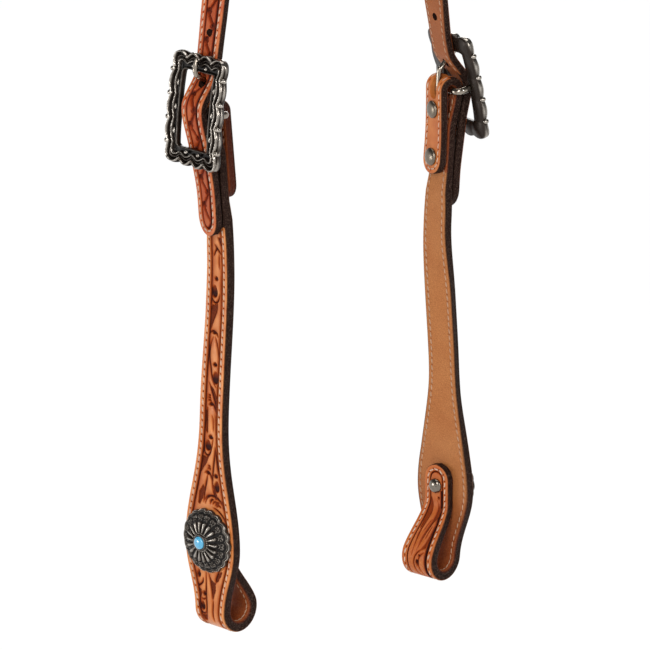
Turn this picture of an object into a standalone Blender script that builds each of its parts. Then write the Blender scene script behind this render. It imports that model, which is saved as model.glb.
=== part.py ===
"""A western headstall with two buckles, hanging from its poll: a doubled leather crown strap, and on each side a
scalloped buckle with a staple bar and a tongue, and a doubled cheek strap with a folded and riveted top, a flare
under a concho, and a bit loop that a screw closes. Metres, +Z up, origin under the top of the crown. X runs from
the left cheek to the right one, and the near edges of the straps face -Y."""

import math

import bmesh
import bpy
import numpy as np
from mathutils import Matrix, Vector

# Leather
STRAP_WIDTH = 0.0162
CHEEK_FACE = 0.0026
CHEEK_LINING = 0.0027
SKIVED_LINING = 0.0016
CROWN_FACE = 0.0021
CROWN_LINING = 0.0018
GAP = 0.0003
TIP_FLAT = 0.0040
BILLET_POINT = 0.0110

# Crown
HANGER_RADIUS = 0.0550
BAR_SPACING = 0.1732
BAR_OFFSET = 0.0059
BAR_CENTRE_Z = (-0.2310, -0.2470)
TAIL_LENGTH = 0.0640
HOLE_SPACING = 0.0250
HOLE_RADIUS = 0.0021
SPARE_HOLES = 3
TOP_BAR_CLEARANCE = 0.0008
BULGE_PEAK = 0.0015
BULGE_ROOM = 0.0015
TAIL_REST = 0.0007
TAIL_OFF_RAIL = (0, 0.0006)
BULGE_FOOT_SHARE = 0.703
TONGUE_HOLE_UP = 0.0145

# Buckle
FRAME_BAND = 0.0084
FRAME_THICKNESS = 0.0042
WINDOW_WIDTH = 0.0242
WINDOW_HEIGHT = 0.0390
WINDOW_CORNER = 0.0012
SCALLOP_DEPTH = 0.0014
CORNER_SWELL = 0.0012
SIDE_CUSP_SPACING = 0.0122
TOP_CUSP_SPACING = 0.0098
FRAME_ARCH = 0.0014
BAR_DEPTH = 0.0100
BAR_RADIUS = 0.0020
BAR_BEND = 0.0034
BAR_SIDE_CLEARANCE = 0.0022
TONGUE_RADIUS = 0.0014
TONGUE_PAST_MIDDLE = 0.0020
TONGUE_JOG = 0.0063
TONGUE_LIFT_ROOM = 0.0020
TONGUE_TIP_SHARE = 0.55
TONGUE_ROOM = 0.0006
TONGUE_WRAP = math.radians(262)
TONGUE_RISE = math.radians(72)
TONGUE_KNEE = 16
BUCKLE_TILT = (math.radians(6.8), math.radians(11.5))

# Cheek
CHEEK_LEAN = (math.radians(0.2), math.radians(0.9))
CHEEK_LENGTHS = (0.2755, 0.2705)
FOLD_TAB_LENGTH = 0.0460
FOLD_CLOSING = 0.0240
LINING_THICKENS_OVER = 0.0100
EAR_SLOT_WIDTH = 0.0064
EAR_SLOT_FOOT = 0.0054
RIVET_DROPS = (0.0110, 0.0370)
RIVET_CAP_RADIUS = 0.0047
RIVET_CAP_HEIGHT = 0.0019
RIVET_POST_RADIUS = 0.0016
CONCHO_DROPS = (0.2255, 0.2190)
FLARE_WIDTH = 0.0358
FLARE_DROP = 0.0030
FLARE_UPPER_LENGTH = 0.0750
FLARE_LOWER_LENGTH = 0.0360
LOOP_WIDTH = 0.0215
LOOP_BORE_RADIUS = 0.0065
LOOP_TAB_WIDTH = 0.0165
LOOP_TAB_ABOVE = 0.0115
LOOP_TAB_BELOW = 0.0085

# Concho and bit screw
CONCHO_RADIUS = 0.0170
CONCHO_LOBES = 18
CONCHO_LOBE_DEPTH = 0.0009
CONCHO_RIM_THICKNESS = 0.0012
CONCHO_HEIGHT = 0.0050
PETAL_HEIGHT = 0.0008
BEZEL_RADIUS = 0.0042
BEZEL_WALL = 0.0007
BEZEL_HEIGHT = 0.0010
STONE_HEIGHT = 0.0020
POST_RADIUS = 0.0026
POST_BORE = 0.0019
SCREW_RADIUS = 0.0016
SCREW_HEAD_RADIUS = 0.0040
SCREW_HEAD_HEIGHT = 0.0022
SLOT_WIDTH = 0.0009
SLOT_DEPTH = 0.0011
OVERRUN = 0.0040

# How the straps turn about the vertical, on the left and on the right: the way that the outer face looks at heights
# from the bar, from the foot of the cheek up. The angle is 0 where the face looks straight to the side.
TURN_HEIGHTS = (
    (-CHEEK_LENGTHS[0], -0.1950, -0.1520, -0.1010, -0.0740, -0.0520, -0.0080, 0.0260, 0.0570),
    (-CHEEK_LENGTHS[1], -0.2050, -0.1700, -0.1150, -0.0700, -0.0400, -0.0080, 0.0260, 0.0570),
)
TURN_DEGREES = (
    (1, 1, -1.5, 3, 6, 11.5, 6.5, 6.5, 1),
    (-1, -2, -13, -13, 2, 14, 17, 17, 8),
)
# How far the straps bow outwards at heights from the bar, which is below 0 where they bow inwards, and the slope.
BOW_HEIGHTS = (
    (-CHEEK_LENGTHS[0], -0.2230, -0.1600, -0.0850, 0, 0.0080),
    (-CHEEK_LENGTHS[1], -0.2230, -0.1650, -0.0850, -0.0200, 0.0080),
)
BOW_OFFSETS = (
    (0, 0, -0.0015, -0.0060, 0, 0),
    (-0.0040, 0, 0, -0.0058, -0.0004, 0),
)
BOW_SLOPES = (
    (0, 0, -0.04, 0, 0.09, 0),
    (0.1, 0, 0, 0, 0.04, 0),
)
CROWN_FOOT_SLOPE = 0.1
LOOP_LIFT = math.radians(20)
CAP_RIM_SHARE = 0.2
STONE_WALL_SHARE = 1 / 3
TONGUE_BEND_SHARE = 1 / 3
WELD = 0.00001

SEAM = GAP / 2
BAR_CENTRE_X = (BAR_OFFSET - BAR_SPACING / 2, BAR_OFFSET + BAR_SPACING / 2)
BULGE_FOOT = TAIL_LENGTH * BULGE_FOOT_SHARE
BAND_HALF_WIDTH = (WINDOW_WIDTH + FRAME_BAND) / 2
BAND_HALF_HEIGHT = (WINDOW_HEIGHT + FRAME_BAND) / 2
FOLD_SEAM_RADIUS = BAR_RADIUS + GAP + SKIVED_LINING + SEAM
FOLD_OUTER_RADIUS = FOLD_SEAM_RADIUS + SEAM + CHEEK_FACE
CHEEK_U = -FOLD_SEAM_RADIUS + 2 * (SEAM + SKIVED_LINING) + GAP
CHEEK_OUTER_U = CHEEK_U + SEAM + CHEEK_FACE
BULGE_U = FOLD_OUTER_RADIUS + BULGE_ROOM + CROWN_LINING + SEAM
TAIL_U = CHEEK_OUTER_U + TAIL_REST + CROWN_LINING + SEAM
FRAME_END_P = BAR_DEPTH - FRAME_ARCH
FRAME_BACK_P = FRAME_END_P - FRAME_THICKNESS / 2
LOOP_RADIUS = LOOP_BORE_RADIUS + CHEEK_LINING + SEAM
LOOP_TAB_U = CHEEK_U - SEAM - CHEEK_LINING - GAP - SKIVED_LINING - SEAM
CROWN_RADIUS = HANGER_RADIUS + CROWN_LINING + SEAM
HANGER_CENTRE = Vector((0, 0, -HANGER_RADIUS))

# Points of the band's section from the inner back edge: (across, how far it follows the scallops, height), as shares
# of half the band and half its thickness.
BAND_SECTION_SHARES = (
    (-1.0, 0.0, -1.0),
    (-1.0, 0.0, 0.3),
    (-0.8, 0.0, 0.6),
    (-0.25, 0.8, 0.9),
    (0.15, 1.0, 0.25),
    (0.7, 1.0, 1.0),
    (1.0, 1.0, 0.2),
    (0.9, 1.0, -1.0),
)
PETAL_REACH_SHARE = 0.70
PETAL_ROW_SHARES = (0.12, 0.5, 0.85)

UP = Vector((0, 0, 1))


def clear_scene():
    for item in list(bpy.data.objects):
        bpy.data.objects.remove(item)


def new_collection(name):
    made = bpy.data.collections.new(name)
    bpy.context.scene.collection.children.link(made)
    return made


def linear(code):
    """The linear colour of an sRGB code such as #8A5A2B."""
    shares = [int(code[i : i + 2], 16) / 255 for i in (1, 3, 5)]
    return [s / 12.92 if s <= 0.04045 else ((s + 0.055) / 1.055) ** 2.4 for s in shares] + [1]


def new_material(name, code, roughness, metallic):
    made = bpy.data.materials.new(name)
    made.use_nodes = True
    shader = made.node_tree.nodes["Principled BSDF"]
    shader.inputs["Base Color"].default_value = linear(code)
    shader.inputs["Roughness"].default_value = roughness
    shader.inputs["Metallic"].default_value = metallic
    return made


def add_object(name, data, material, where, matrix=None):
    made = bpy.data.objects.new(name, data)
    where.objects.link(made)
    if material:
        data.materials.append(material)
    if matrix:
        made.matrix_world = matrix
    return made


def add_cutter(name, data, matrix=None):
    made = add_object(name, data, None, cutters, matrix)
    made.hide_render = True
    made.display_type = "WIRE"
    return made


def cut(target, cutter):
    boolean = target.modifiers.new("cut " + cutter.name, "BOOLEAN")
    boolean.operation = "DIFFERENCE"
    boolean.object = cutter


def smooth(mesh, degrees=40):
    mesh.shade_smooth()
    mesh.set_sharp_from_angle(angle=math.radians(degrees))


def eased(stations, at):
    """Value at a place along stations of (place, value, slope), which cubic curves join."""
    for (a, first, leaving), (b, last, arriving) in zip(stations, stations[1:]):
        if at <= b:
            run = b - a
            t = (at - a) / run
            return (
                first * (1 + 2 * t) * (1 - t) ** 2
                + leaving * run * t * (1 - t) ** 2
                + last * t * t * (3 - 2 * t)
                + arriving * run * t * t * (t - 1)
            )
    return stations[-1][1] + (at - stations[-1][0]) * stations[-1][2]


def swept(start, stop, count):
    """Evenly spaced values after start, up to stop."""
    return [start + (stop - start) * i / count for i in range(1, count + 1)]


class Side:
    """One side of the headstall. Its own frame starts at the centre of the buckle bar: u points outwards, v towards
    the near edge of the strap, z up along the leaning cheek."""

    def __init__(self, index):
        self.name = ("left", "right")[index]
        self.sign = (-1, 1)[index]
        self.centre = Vector((BAR_CENTRE_X[index], 0, BAR_CENTRE_Z[index]))
        self.tilt = BUCKLE_TILT[index]
        self.lean = CHEEK_LEAN[index]
        self.concho_drop = CONCHO_DROPS[index]
        self.stations = [(z, math.radians(turn), 0) for z, turn in zip(TURN_HEIGHTS[index], TURN_DEGREES[index])]
        self.bows = list(zip(BOW_HEIGHTS[index], BOW_OFFSETS[index], BOW_SLOPES[index]))
        self.tail_off_rail = TAIL_OFF_RAIL[index]
        self.loop_z = -(CHEEK_LENGTHS[index] - LOOP_RADIUS - SEAM - CHEEK_FACE)

    def heading(self, z):
        return eased(self.stations, max(z, self.stations[0][0]))

    def outward(self, z):
        angle = self.heading(z)
        return self.sign * Vector((math.cos(angle), -math.sin(angle), 0))

    def near(self, z):
        angle = self.heading(z)
        return Vector((-math.sin(angle), -math.cos(angle), 0))

    def bow(self, z):
        """How far the strap's line is off its straight lean at a height, and the angle that this adds to the lean."""
        if z >= self.bows[-1][0]:
            return 0, 0
        step = GAP
        low, high = (eased(self.bows, max(at, self.bows[0][0])) for at in (z - step, z + step))
        return (low + high) / 2, -math.atan2(high - low, 2 * step)

    def place(self, u, v, z, heading_z=None):
        """World position of a point of this side."""
        at = z if heading_z is None else heading_z
        offset, slope = self.bow(z)
        across = u * math.cos(self.lean + slope) - z * math.sin(self.lean) + offset
        height = u * math.sin(self.lean + slope) + z * math.cos(self.lean)
        return self.centre + across * self.outward(at) + v * self.near(at) + height * UP

    def matrix(self, u, z, heading_z=None):
        """Frame at (u, z) whose Z points outwards and X towards the near edge."""
        at = z if heading_z is None else heading_z
        angle = self.lean + self.bow(z)[1]
        out = math.cos(angle) * self.outward(at) + math.sin(angle) * UP
        near = self.near(at)
        side = out.cross(near)
        rotation = Matrix((near, side, out)).transposed().to_4x4()
        return Matrix.Translation(self.place(u, 0, z, at)) @ rotation

    def buckle_matrix(self):
        """Frame of the tilted buckle at its bar: X is out through the frame, Y the bar's direction, Z up the frame."""
        angle = self.lean + self.tilt
        out = math.cos(angle) * self.outward(0) + math.sin(angle) * UP
        near = self.near(0)
        up = out.cross(near) * self.handed()
        return Matrix.Translation(self.centre) @ Matrix((out, near * self.handed(), up)).transposed().to_4x4()

    def handed(self):
        """1 where out, near and up are a right-handed set, as on the left side, and else -1."""
        return -self.sign


def sheet_mesh(name, columns, rows, place):
    """Mesh of a grid whose vertices place(share along, share across) sets."""
    work = bmesh.new()
    bmesh.ops.create_grid(work, x_segments=columns, y_segments=rows, size=1)
    for vertex in work.verts:
        vertex.co = place(round((vertex.co.x + 1) / 2 * columns), round((vertex.co.y + 1) / 2 * rows))
    mesh = bpy.data.meshes.new(name)
    work.to_mesh(mesh)
    work.free()
    return mesh


def closed_mesh(name, columns, rows, place):
    """The same for a surface that closes on itself: points that meet are merged, and the faces look outwards."""
    mesh = sheet_mesh(name, columns, rows, place)
    work = bmesh.new()
    work.from_mesh(mesh)
    bmesh.ops.remove_doubles(work, verts=work.verts, dist=WELD)
    bmesh.ops.recalc_face_normals(work, faces=work.faces)
    if work.calc_volume(signed=True) < 0:
        bmesh.ops.reverse_faces(work, faces=work.faces)
    work.to_mesh(mesh)
    work.free()
    smooth(mesh)
    return mesh


class Route:
    """The seam line of a strap, with the direction across it, its width and how full its lining is at each point.
    facing is 1 or -1, so that the face looks along facing times across x along."""

    def __init__(self, facing):
        self.facing = facing
        self.stops = []

    def add(self, point, across, width, fullness=1.0):
        self.stops.append((point, across, width, fullness))

    def frames(self):
        """For each stop: the point, the direction across and the one out of the face."""
        found = []
        last = len(self.stops) - 1
        for i, (point, across, _, _) in enumerate(self.stops):
            along = (self.stops[min(i + 1, last)][0] - self.stops[max(i - 1, 0)][0]).normalized()
            square = (across - across.dot(along) * along).normalized()
            found.append((point, square, self.facing * square.cross(along)))
        return found


def add_leather(name, route, lift, thickness, skived, material):
    """One leather of a strap. lift is how far its inner side is from the seam line: above 0 for the face, and below
    0 for the lining. skived is the thickness where the lining is pared thin."""
    frames = route.frames()
    columns = len(frames) - 1
    rows = 2

    def place(i, j):
        point, across, out = frames[i]
        return point + (j / rows - 1 / 2) * route.facing * route.stops[i][2] * across + lift * out

    mesh = sheet_mesh(name, columns, rows, place)
    made = add_object(name, mesh, material, headstall)
    group = made.vertex_groups.new(name="thickness")
    for vertex in mesh.vertices:
        fullness = route.stops[vertex.index % (columns + 1)][3]
        group.add([vertex.index], (skived + (thickness - skived) * fullness) / thickness, "REPLACE")
    shell = made.modifiers.new("leather", "SOLIDIFY")
    shell.thickness = thickness
    shell.offset = -1 if lift > 0 else 1
    shell.vertex_group = group.name
    smooth(mesh)
    return made


def add_strap(name, route, face, lining, skived):
    """The tooled leather and the lining of a strap, with the seam gap between them."""
    return (
        add_leather(name + "_face", route, SEAM, face, face, tooled),
        add_leather(name + "_lining", route, -SEAM, lining, skived, smooth_leather),
    )


def tip_stops(half_width, length, count):
    """(distance from the tip, width) along a rounded strap end, from the tip inwards."""
    first = math.asin(TIP_FLAT / 2 / half_width)
    angles = [first] + swept(first, math.pi / 2, count)
    start = length * (1 - math.cos(first))
    return [(length * (1 - math.cos(a)) - start, 2 * half_width * math.sin(a)) for a in angles]


def tangent_to_hanger(point, side):
    """Where the crown, coming straight up from the point, meets its round stretch over the hanger."""
    apart = HANGER_CENTRE - point
    flat = Vector((apart.x, 0, apart.z))
    turn = side.sign * math.asin(CROWN_RADIUS / flat.length)
    run = math.sqrt(flat.length_squared - CROWN_RADIUS**2)
    direction = Matrix.Rotation(turn, 3, "Y") @ flat.normalized()
    return Vector((point.x, 0, point.z)) + run * direction


def frame_to_side(side, p, q):
    """(u, z) of a point of the buckle frame that lies p out from the bar and q up the frame."""
    c, s = math.cos(side.tilt), math.sin(side.tilt)
    return p * c - q * s, p * s + q * c


def behind_rail(side, q):
    """(u, z) of the crown's seam line where it lies against the back of the top rail at a height up the frame."""
    edge_u, edge_z = frame_to_side(side, FRAME_BACK_P, q)
    return edge_u - TOP_BAR_CLEARANCE - CROWN_FACE - SEAM, edge_z


def crown_side(side):
    """The seam line of the crown on one side, from the tip of its tail up to behind the top rail: the stops as
    (point, direction across, width), and where the crown meets its round stretch over the hanger."""
    inner_u, inner_z = behind_rail(side, WINDOW_HEIGHT / 2)
    outer_u, outer_z = behind_rail(side, WINDOW_HEIGHT / 2 + FRAME_BAND)
    leaving = side.place(outer_u, 0, outer_z)
    touch = tangent_to_hanger(leaving, side)
    rise = touch - leaving
    slope = math.tan(math.atan2(side.sign * rise.x, rise.z) + side.lean)
    low_u, low_z = behind_rail(side, -WINDOW_HEIGHT / 2)
    low_u -= side.bow(low_z)[0] + side.tail_off_rail
    stations = [
        (-TAIL_LENGTH, TAIL_U, 0),
        (-BULGE_FOOT, TAIL_U, 0),
        (low_z, low_u, CROWN_FOOT_SLOPE),
        (BULGE_PEAK, BULGE_U, 0),
        (inner_z, inner_u, -math.tan(side.tilt)),
        (outer_z, outer_u, slope),
    ]
    stops = [(d - TAIL_LENGTH, w) for d, w in tip_stops(STRAP_WIDTH / 2, BILLET_POINT, 4)]
    heights = swept(stops[-1][0], -BULGE_FOOT, 2) + swept(-BULGE_FOOT, low_z, 5) + swept(low_z, BULGE_PEAK, 6)
    heights += swept(BULGE_PEAK, inner_z, 7) + swept(inner_z, outer_z, 3)
    stops += [(z, STRAP_WIDTH) for z in heights]
    made = [(side.place(eased(stations, z), 0, z), side.near(z), width) for z, width in stops]
    return made, touch


def near_at(angle):
    return Vector((-math.sin(angle), -math.cos(angle), 0))


def crown_run(side, start, touch, count):
    """Stops on the straight run from behind the top bar to the hanger, after its start."""
    found = []
    for share in swept(0, 1, count):
        point = start.lerp(touch, share)
        found.append((point, side.near(point.z - side.centre.z), STRAP_WIDTH))
    return found


def build_crown(left, right):
    halves = []
    for side in (left, right):
        stops, touch = crown_side(side)
        twist_share = (side.stations[-1][0] + side.centre.z - stops[-1][0].z) / (touch.z - stops[-1][0].z)
        twist_end = stops[-1][0].lerp(touch, twist_share)
        stops += crown_run(side, stops[-1][0], twist_end, 5) + crown_run(side, twist_end, touch, 2)
        halves.append((stops, touch))
    route = Route(1)
    for point, near, width in halves[0][0]:
        route.add(point, near, width)
    ends = [math.atan2(h[1].z - HANGER_CENTRE.z, h[1].x) for h in halves]
    headings = [side.heading(side.stations[-1][0]) for side in (left, right)]
    count = 14
    for i in range(1, count):
        share = i / count
        angle = ends[0] + (ends[1] - ends[0]) * share
        point = HANGER_CENTRE + CROWN_RADIUS * Vector((math.cos(angle), 0, math.sin(angle)))
        turned = eased([(0, headings[0], 0), (1, headings[1], 0)], share)
        route.add(point, near_at(turned), STRAP_WIDTH)
    for point, near, width in reversed(halves[1][0]):
        route.add(point, near, width)
    layers = add_strap("crown", route, CROWN_FACE, CROWN_LINING, CROWN_LINING)
    for side, (stops, touch) in zip((left, right), halves):
        cut_crown_holes(side, layers, touch)


def bar_shape(name, radius, length, sides=16):
    """A closed cylinder along Z about the origin."""
    work = bmesh.new()
    bmesh.ops.create_cone(
        work, cap_ends=True, segments=sides, radius1=radius, radius2=radius, depth=length
    )
    mesh = bpy.data.meshes.new(name)
    work.to_mesh(mesh)
    work.free()
    return mesh


def tongue_points():
    """The centre line of the tongue in the buckle's frame, as (p, q) points: a ring round the bar, a shank that rises
    behind the crown, a bend outwards through the crown's hole, and a tip that lies on the top rail."""
    ring = BAR_RADIUS + GAP + TONGUE_RADIUS
    touch = TONGUE_RISE + math.pi / 2
    angles = [touch + TONGUE_WRAP] + swept(touch + TONGUE_WRAP, touch, 14)
    points = [(ring * math.cos(a), ring * math.sin(a)) for a in angles]
    wall = WINDOW_HEIGHT / 2 - TONGUE_RADIUS - GAP
    front = FRAME_END_P + FRAME_THICKNESS / 2
    rest = front + TONGUE_RADIUS
    knee_q = wall - TONGUE_JOG
    knee_p = points[-1][0] + (knee_q - points[-1][1]) / math.tan(TONGUE_RISE)
    points += [(knee_p - TONGUE_RADIUS / 2, knee_q - TONGUE_RADIUS), (knee_p + TONGUE_RADIUS / 2, knee_q)]
    points += [(front - TONGUE_RADIUS, wall - TONGUE_RADIUS * TONGUE_BEND_SHARE), (front, wall)]
    points += [(rest - TONGUE_RADIUS * TONGUE_BEND_SHARE, wall + TONGUE_RADIUS), (rest, wall + 2 * TONGUE_RADIUS)]
    points += [(rest, BAND_HALF_HEIGHT), (rest, BAND_HALF_HEIGHT + TONGUE_PAST_MIDDLE)]
    return points


def cut_crown_holes(side, layers, touch):
    points = tongue_points()
    start, end = (Vector((p, 0, q)) for p, q in (points[TONGUE_KNEE], points[TONGUE_KNEE + 1]))
    along = (end - start).normalized()
    lengthways = Vector((0, 1, 0)).cross(along)
    mesh = bar_shape(side.name + "_tongue_hole", 1, (end - start).length + 2 * TONGUE_RADIUS)
    narrow = TONGUE_RADIUS + TONGUE_ROOM
    for vertex in mesh.vertices:
        vertex.co.x *= narrow + TONGUE_LIFT_ROOM / 2
        vertex.co.y *= narrow
    basis = Matrix((lengthways, along.cross(lengthways), along)).transposed().to_4x4()
    basis.translation = (start + end) / 2 + lengthways * TONGUE_LIFT_ROOM / 2
    cutter = add_cutter(side.name + "_tongue_hole", mesh, side.buckle_matrix() @ basis)
    for leather in layers:
        cut(leather, cutter)
    edge_u, edge_z = behind_rail(side, WINDOW_HEIGHT / 2 + FRAME_BAND)
    passing = side.place(edge_u, 0, edge_z)
    run = (touch - passing).normalized()
    for k in range(1, SPARE_HOLES + 1):
        point = passing + (TONGUE_HOLE_UP + k * HOLE_SPACING - edge_z) * run
        near = side.near(point.z - side.centre.z)
        out = near.cross(run)
        turned = Matrix((near, out.cross(near), out)).transposed().to_4x4()
        turned.translation = point
        name = f"{side.name}_spare_hole_{k}"
        cutter = add_cutter(name, bar_shape(name, HOLE_RADIUS, 2 * OVERRUN), turned)
        for leather in layers:
            cut(leather, cutter)


def closing_u(z):
    """The seam line of the cheek's outer leg below the buckle bar."""
    return eased([(-FOLD_CLOSING, CHEEK_U, 0), (0, FOLD_SEAM_RADIUS, 0)], max(z, -FOLD_CLOSING))


def cheek_width(side, z):
    """Width of the cheek: the strap swells into a flare about the concho, and narrows into the loop."""
    middle = -(side.concho_drop + FLARE_DROP)
    if z > middle:
        share = min((z - middle) / FLARE_UPPER_LENGTH, 1)
        return STRAP_WIDTH + (FLARE_WIDTH - STRAP_WIDTH) * math.cos(math.pi / 2 * share) ** 3
    share = min((middle - z) / FLARE_LOWER_LENGTH, 1)
    return LOOP_WIDTH + (FLARE_WIDTH - LOOP_WIDTH) * math.cos(math.pi / 2 * share) ** 2


def cheek_route(side):
    """From the tip of the fold tab over the bar, down the cheek, round the loop and up to the tip of its tab."""
    route = Route(side.sign)

    def add(u, z, width, fullness):
        route.add(side.place(u, 0, z), side.near(z), width, fullness)

    stops = tip_stops(STRAP_WIDTH / 2, STRAP_WIDTH / 2, 4)
    for distance, width in stops:
        add(-FOLD_SEAM_RADIUS, distance - FOLD_TAB_LENGTH, width, 0)
    for z in swept(stops[-1][0] - FOLD_TAB_LENGTH, 0, 5):
        add(-FOLD_SEAM_RADIUS, z, STRAP_WIDTH, 0)
    for angle in swept(math.pi, 0, 10):
        add(FOLD_SEAM_RADIUS * math.cos(angle), FOLD_SEAM_RADIUS * math.sin(angle), STRAP_WIDTH, 0)
    for z in swept(0, -FOLD_CLOSING, 6) + [-FOLD_TAB_LENGTH]:
        add(closing_u(z), z, STRAP_WIDTH, 0)
    flare_start = -(side.concho_drop + FLARE_DROP - FLARE_UPPER_LENGTH)
    heights = [-FOLD_TAB_LENGTH - LINING_THICKENS_OVER]
    heights += swept(heights[-1], flare_start, 9) + swept(flare_start, side.loop_z, 16)
    for z in heights:
        add(CHEEK_U, z, cheek_width(side, z), 1)
    loop_u = CHEEK_U - LOOP_RADIUS
    for angle in swept(0, math.pi + LOOP_LIFT, 11):
        z = side.loop_z - LOOP_RADIUS * math.sin(angle)
        width = min(cheek_width(side, z), cheek_width(side, side.loop_z))
        add(loop_u + LOOP_RADIUS * math.cos(angle), z, width, 1)
    leg_z = side.loop_z + LOOP_RADIUS * math.sin(LOOP_LIFT)
    leg_u = loop_u - LOOP_RADIUS * math.cos(LOOP_LIFT)
    leg_width = route.stops[-1][2]
    seat_z = -(side.concho_drop + LOOP_TAB_BELOW)
    leg = [(leg_z, leg_u, math.tan(LOOP_LIFT)), (seat_z, LOOP_TAB_U, 0)]
    for share in swept(0, 1, 6):
        z = leg_z + (seat_z - leg_z) * share
        add(eased(leg, z), z, leg_width + (LOOP_TAB_WIDTH - leg_width) * share, 1 - share)
    tip = -(side.concho_drop - LOOP_TAB_ABOVE)
    for distance, width in reversed(tip_stops(LOOP_TAB_WIDTH / 2, LOOP_TAB_WIDTH / 2, 5)):
        add(LOOP_TAB_U, tip - distance, width, 0)
    return route


def ear_slot_shape(name):
    """A slot across the fold, open at the top and round at its foot."""
    mesh = bar_shape(name, EAR_SLOT_WIDTH / 2, 2 * (FOLD_OUTER_RADIUS + OVERRUN), 20)
    rise = FOLD_OUTER_RADIUS + OVERRUN
    for vertex in mesh.vertices:
        # Before the turn by side.matrix, local Y runs along the strap.
        if vertex.co.y > 0:
            vertex.co.y += rise
    return mesh


def build_cheek(side):
    route = cheek_route(side)
    layers = add_strap(side.name + "_cheek", route, CHEEK_FACE, CHEEK_LINING, SKIVED_LINING)
    slot_z = -EAR_SLOT_FOOT + EAR_SLOT_WIDTH / 2
    turned = side.matrix(0, slot_z, 0)
    if turned.to_3x3().col[1].z < 0:
        turned = turned @ Matrix.Rotation(math.pi, 4, "Z")
    name = side.name + "_ear_slot"
    cutters_here = [add_cutter(name, ear_slot_shape(name), turned)]
    for k, drop in enumerate(RIVET_DROPS):
        name = f"{side.name}_rivet_hole_{k}"
        mesh = bar_shape(name, RIVET_POST_RADIUS + GAP, 2 * (FOLD_OUTER_RADIUS + OVERRUN))
        cutters_here.append(add_cutter(name, mesh, side.matrix(0, -drop)))
    name = side.name + "_post_hole"
    mesh = bar_shape(name, POST_RADIUS + GAP, 4 * (CHEEK_FACE + CHEEK_LINING) + 2 * OVERRUN)
    middle = (CHEEK_U + LOOP_TAB_U) / 2
    cutters_here.append(add_cutter(name, mesh, side.matrix(middle, -side.concho_drop)))
    for leather in layers:
        for cutter in cutters_here:
            cut(leather, cutter)
    return list(layers)


def turned_object(name, profile, material, matrix, steps=24):
    """A piece turned about its Z axis from (radius, height) points that run down its outer side."""
    mesh = bpy.data.meshes.new(name)
    points = [(radius, 0, height) for radius, height in profile]
    mesh.from_pydata(points, [(i, i + 1) for i in range(len(points) - 1)], [])
    made = add_object(name, mesh, material, headstall, matrix)
    screw = made.modifiers.new("turn", "SCREW")
    screw.steps = steps
    screw.render_steps = steps
    screw.use_merge_vertices = True
    screw.merge_threshold = WELD
    screw.use_smooth_shade = True
    return made


def dome(radius, base, height, count):
    """Profile points of a round cap that bulges downwards from a rim at height base."""
    angles = swept(0, math.pi / 2, count)
    return [(radius * math.cos(a) if a < angles[-1] else 0, base - height * math.sin(a)) for a in angles]


def build_rivets(side):
    made = []
    for label, drop in zip(("upper", "lower"), RIVET_DROPS):
        under = -(FOLD_OUTER_RADIUS + GAP)
        top = closing_u(-drop) + SEAM + CHEEK_FACE - 2 * GAP
        rim = under - RIVET_CAP_HEIGHT * CAP_RIM_SHARE
        profile = [(0, top), (RIVET_POST_RADIUS, top), (RIVET_POST_RADIUS, under), (RIVET_CAP_RADIUS, under)]
        profile += [(RIVET_CAP_RADIUS, rim)] + dome(RIVET_CAP_RADIUS, rim, RIVET_CAP_HEIGHT, 5)
        made.append(turned_object(f"{side.name}_{label}_rivet", profile, rivet_metal, side.matrix(0, -drop), 20))
    return made


def band_point(way):
    """A place on the centre line of the buckle's band and the outward direction there, as (v, q) pairs. way is the
    distance round it from the middle of one side."""
    corner = WINDOW_CORNER + FRAME_BAND / 2
    rise = BAND_HALF_HEIGHT - corner
    span = BAND_HALF_WIDTH - corner
    turn = corner * math.pi / 2
    quarter = rise + turn + span
    index = int(way // quarter) % 4
    local = way % quarter
    if index % 2:
        local = quarter - local
    if local < rise:
        angle = 0
        v, q = span + corner, local
    elif local < rise + turn:
        angle = (local - rise) / corner
        v, q = span + corner * math.cos(angle), rise + corner * math.sin(angle)
    else:
        angle = math.pi / 2
        v, q = span - (local - rise - turn), rise + corner
    sign_v = -1 if index in (1, 2) else 1
    sign_q = -1 if index in (2, 3) else 1
    return (sign_v * v, sign_q * q), (sign_v * math.cos(angle), sign_q * math.sin(angle))


def band_stops(per_lobe):
    """(way, share of the way through its scallop) all round the band: three scallops on each side, two at each end
    and one on each corner."""
    corner = WINDOW_CORNER + FRAME_BAND / 2
    half = 2 * (BAND_HALF_HEIGHT + BAND_HALF_WIDTH - 2 * corner) + math.pi * corner
    first = [SIDE_CUSP_SPACING / 2, SIDE_CUSP_SPACING * 3 / 2, half / 2 - TOP_CUSP_SPACING]
    upper = first + [half / 2] + [half - way for way in reversed(first)]
    cusps = upper + [half + way for way in upper] + [2 * half + upper[0]]
    stops = []
    for start, end in zip(cusps, cusps[1:]):
        stops += [(start + (end - start) * i / per_lobe, i / per_lobe) for i in range(per_lobe)]
    return stops


def frame_mesh(name):
    """The cast frame: a band with a scalloped edge, a raised rim, a groove and an inner ridge, arched outwards."""
    stops = band_stops(5)

    def place(i, j):
        way, lobe = stops[i % len(stops)]
        across, follows, height = BAND_SECTION_SHARES[j % len(BAND_SECTION_SHARES)]
        (v, q), (out_v, out_q) = band_point(way)
        swell = SCALLOP_DEPTH * (math.sin(math.pi * lobe) - 1 / 2)
        swell += CORNER_SWELL * math.sin(math.pi * lobe) * 2 * min(abs(out_v), abs(out_q))
        reach = across * FRAME_BAND / 2 + follows * swell
        arch = FRAME_ARCH * abs(q / BAND_HALF_HEIGHT) ** 3
        return Vector((BAR_DEPTH - arch + height * FRAME_THICKNESS / 2, v + reach * out_v, q + reach * out_q))

    return closed_mesh(name, len(stops), len(BAND_SECTION_SHARES), place)


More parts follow.
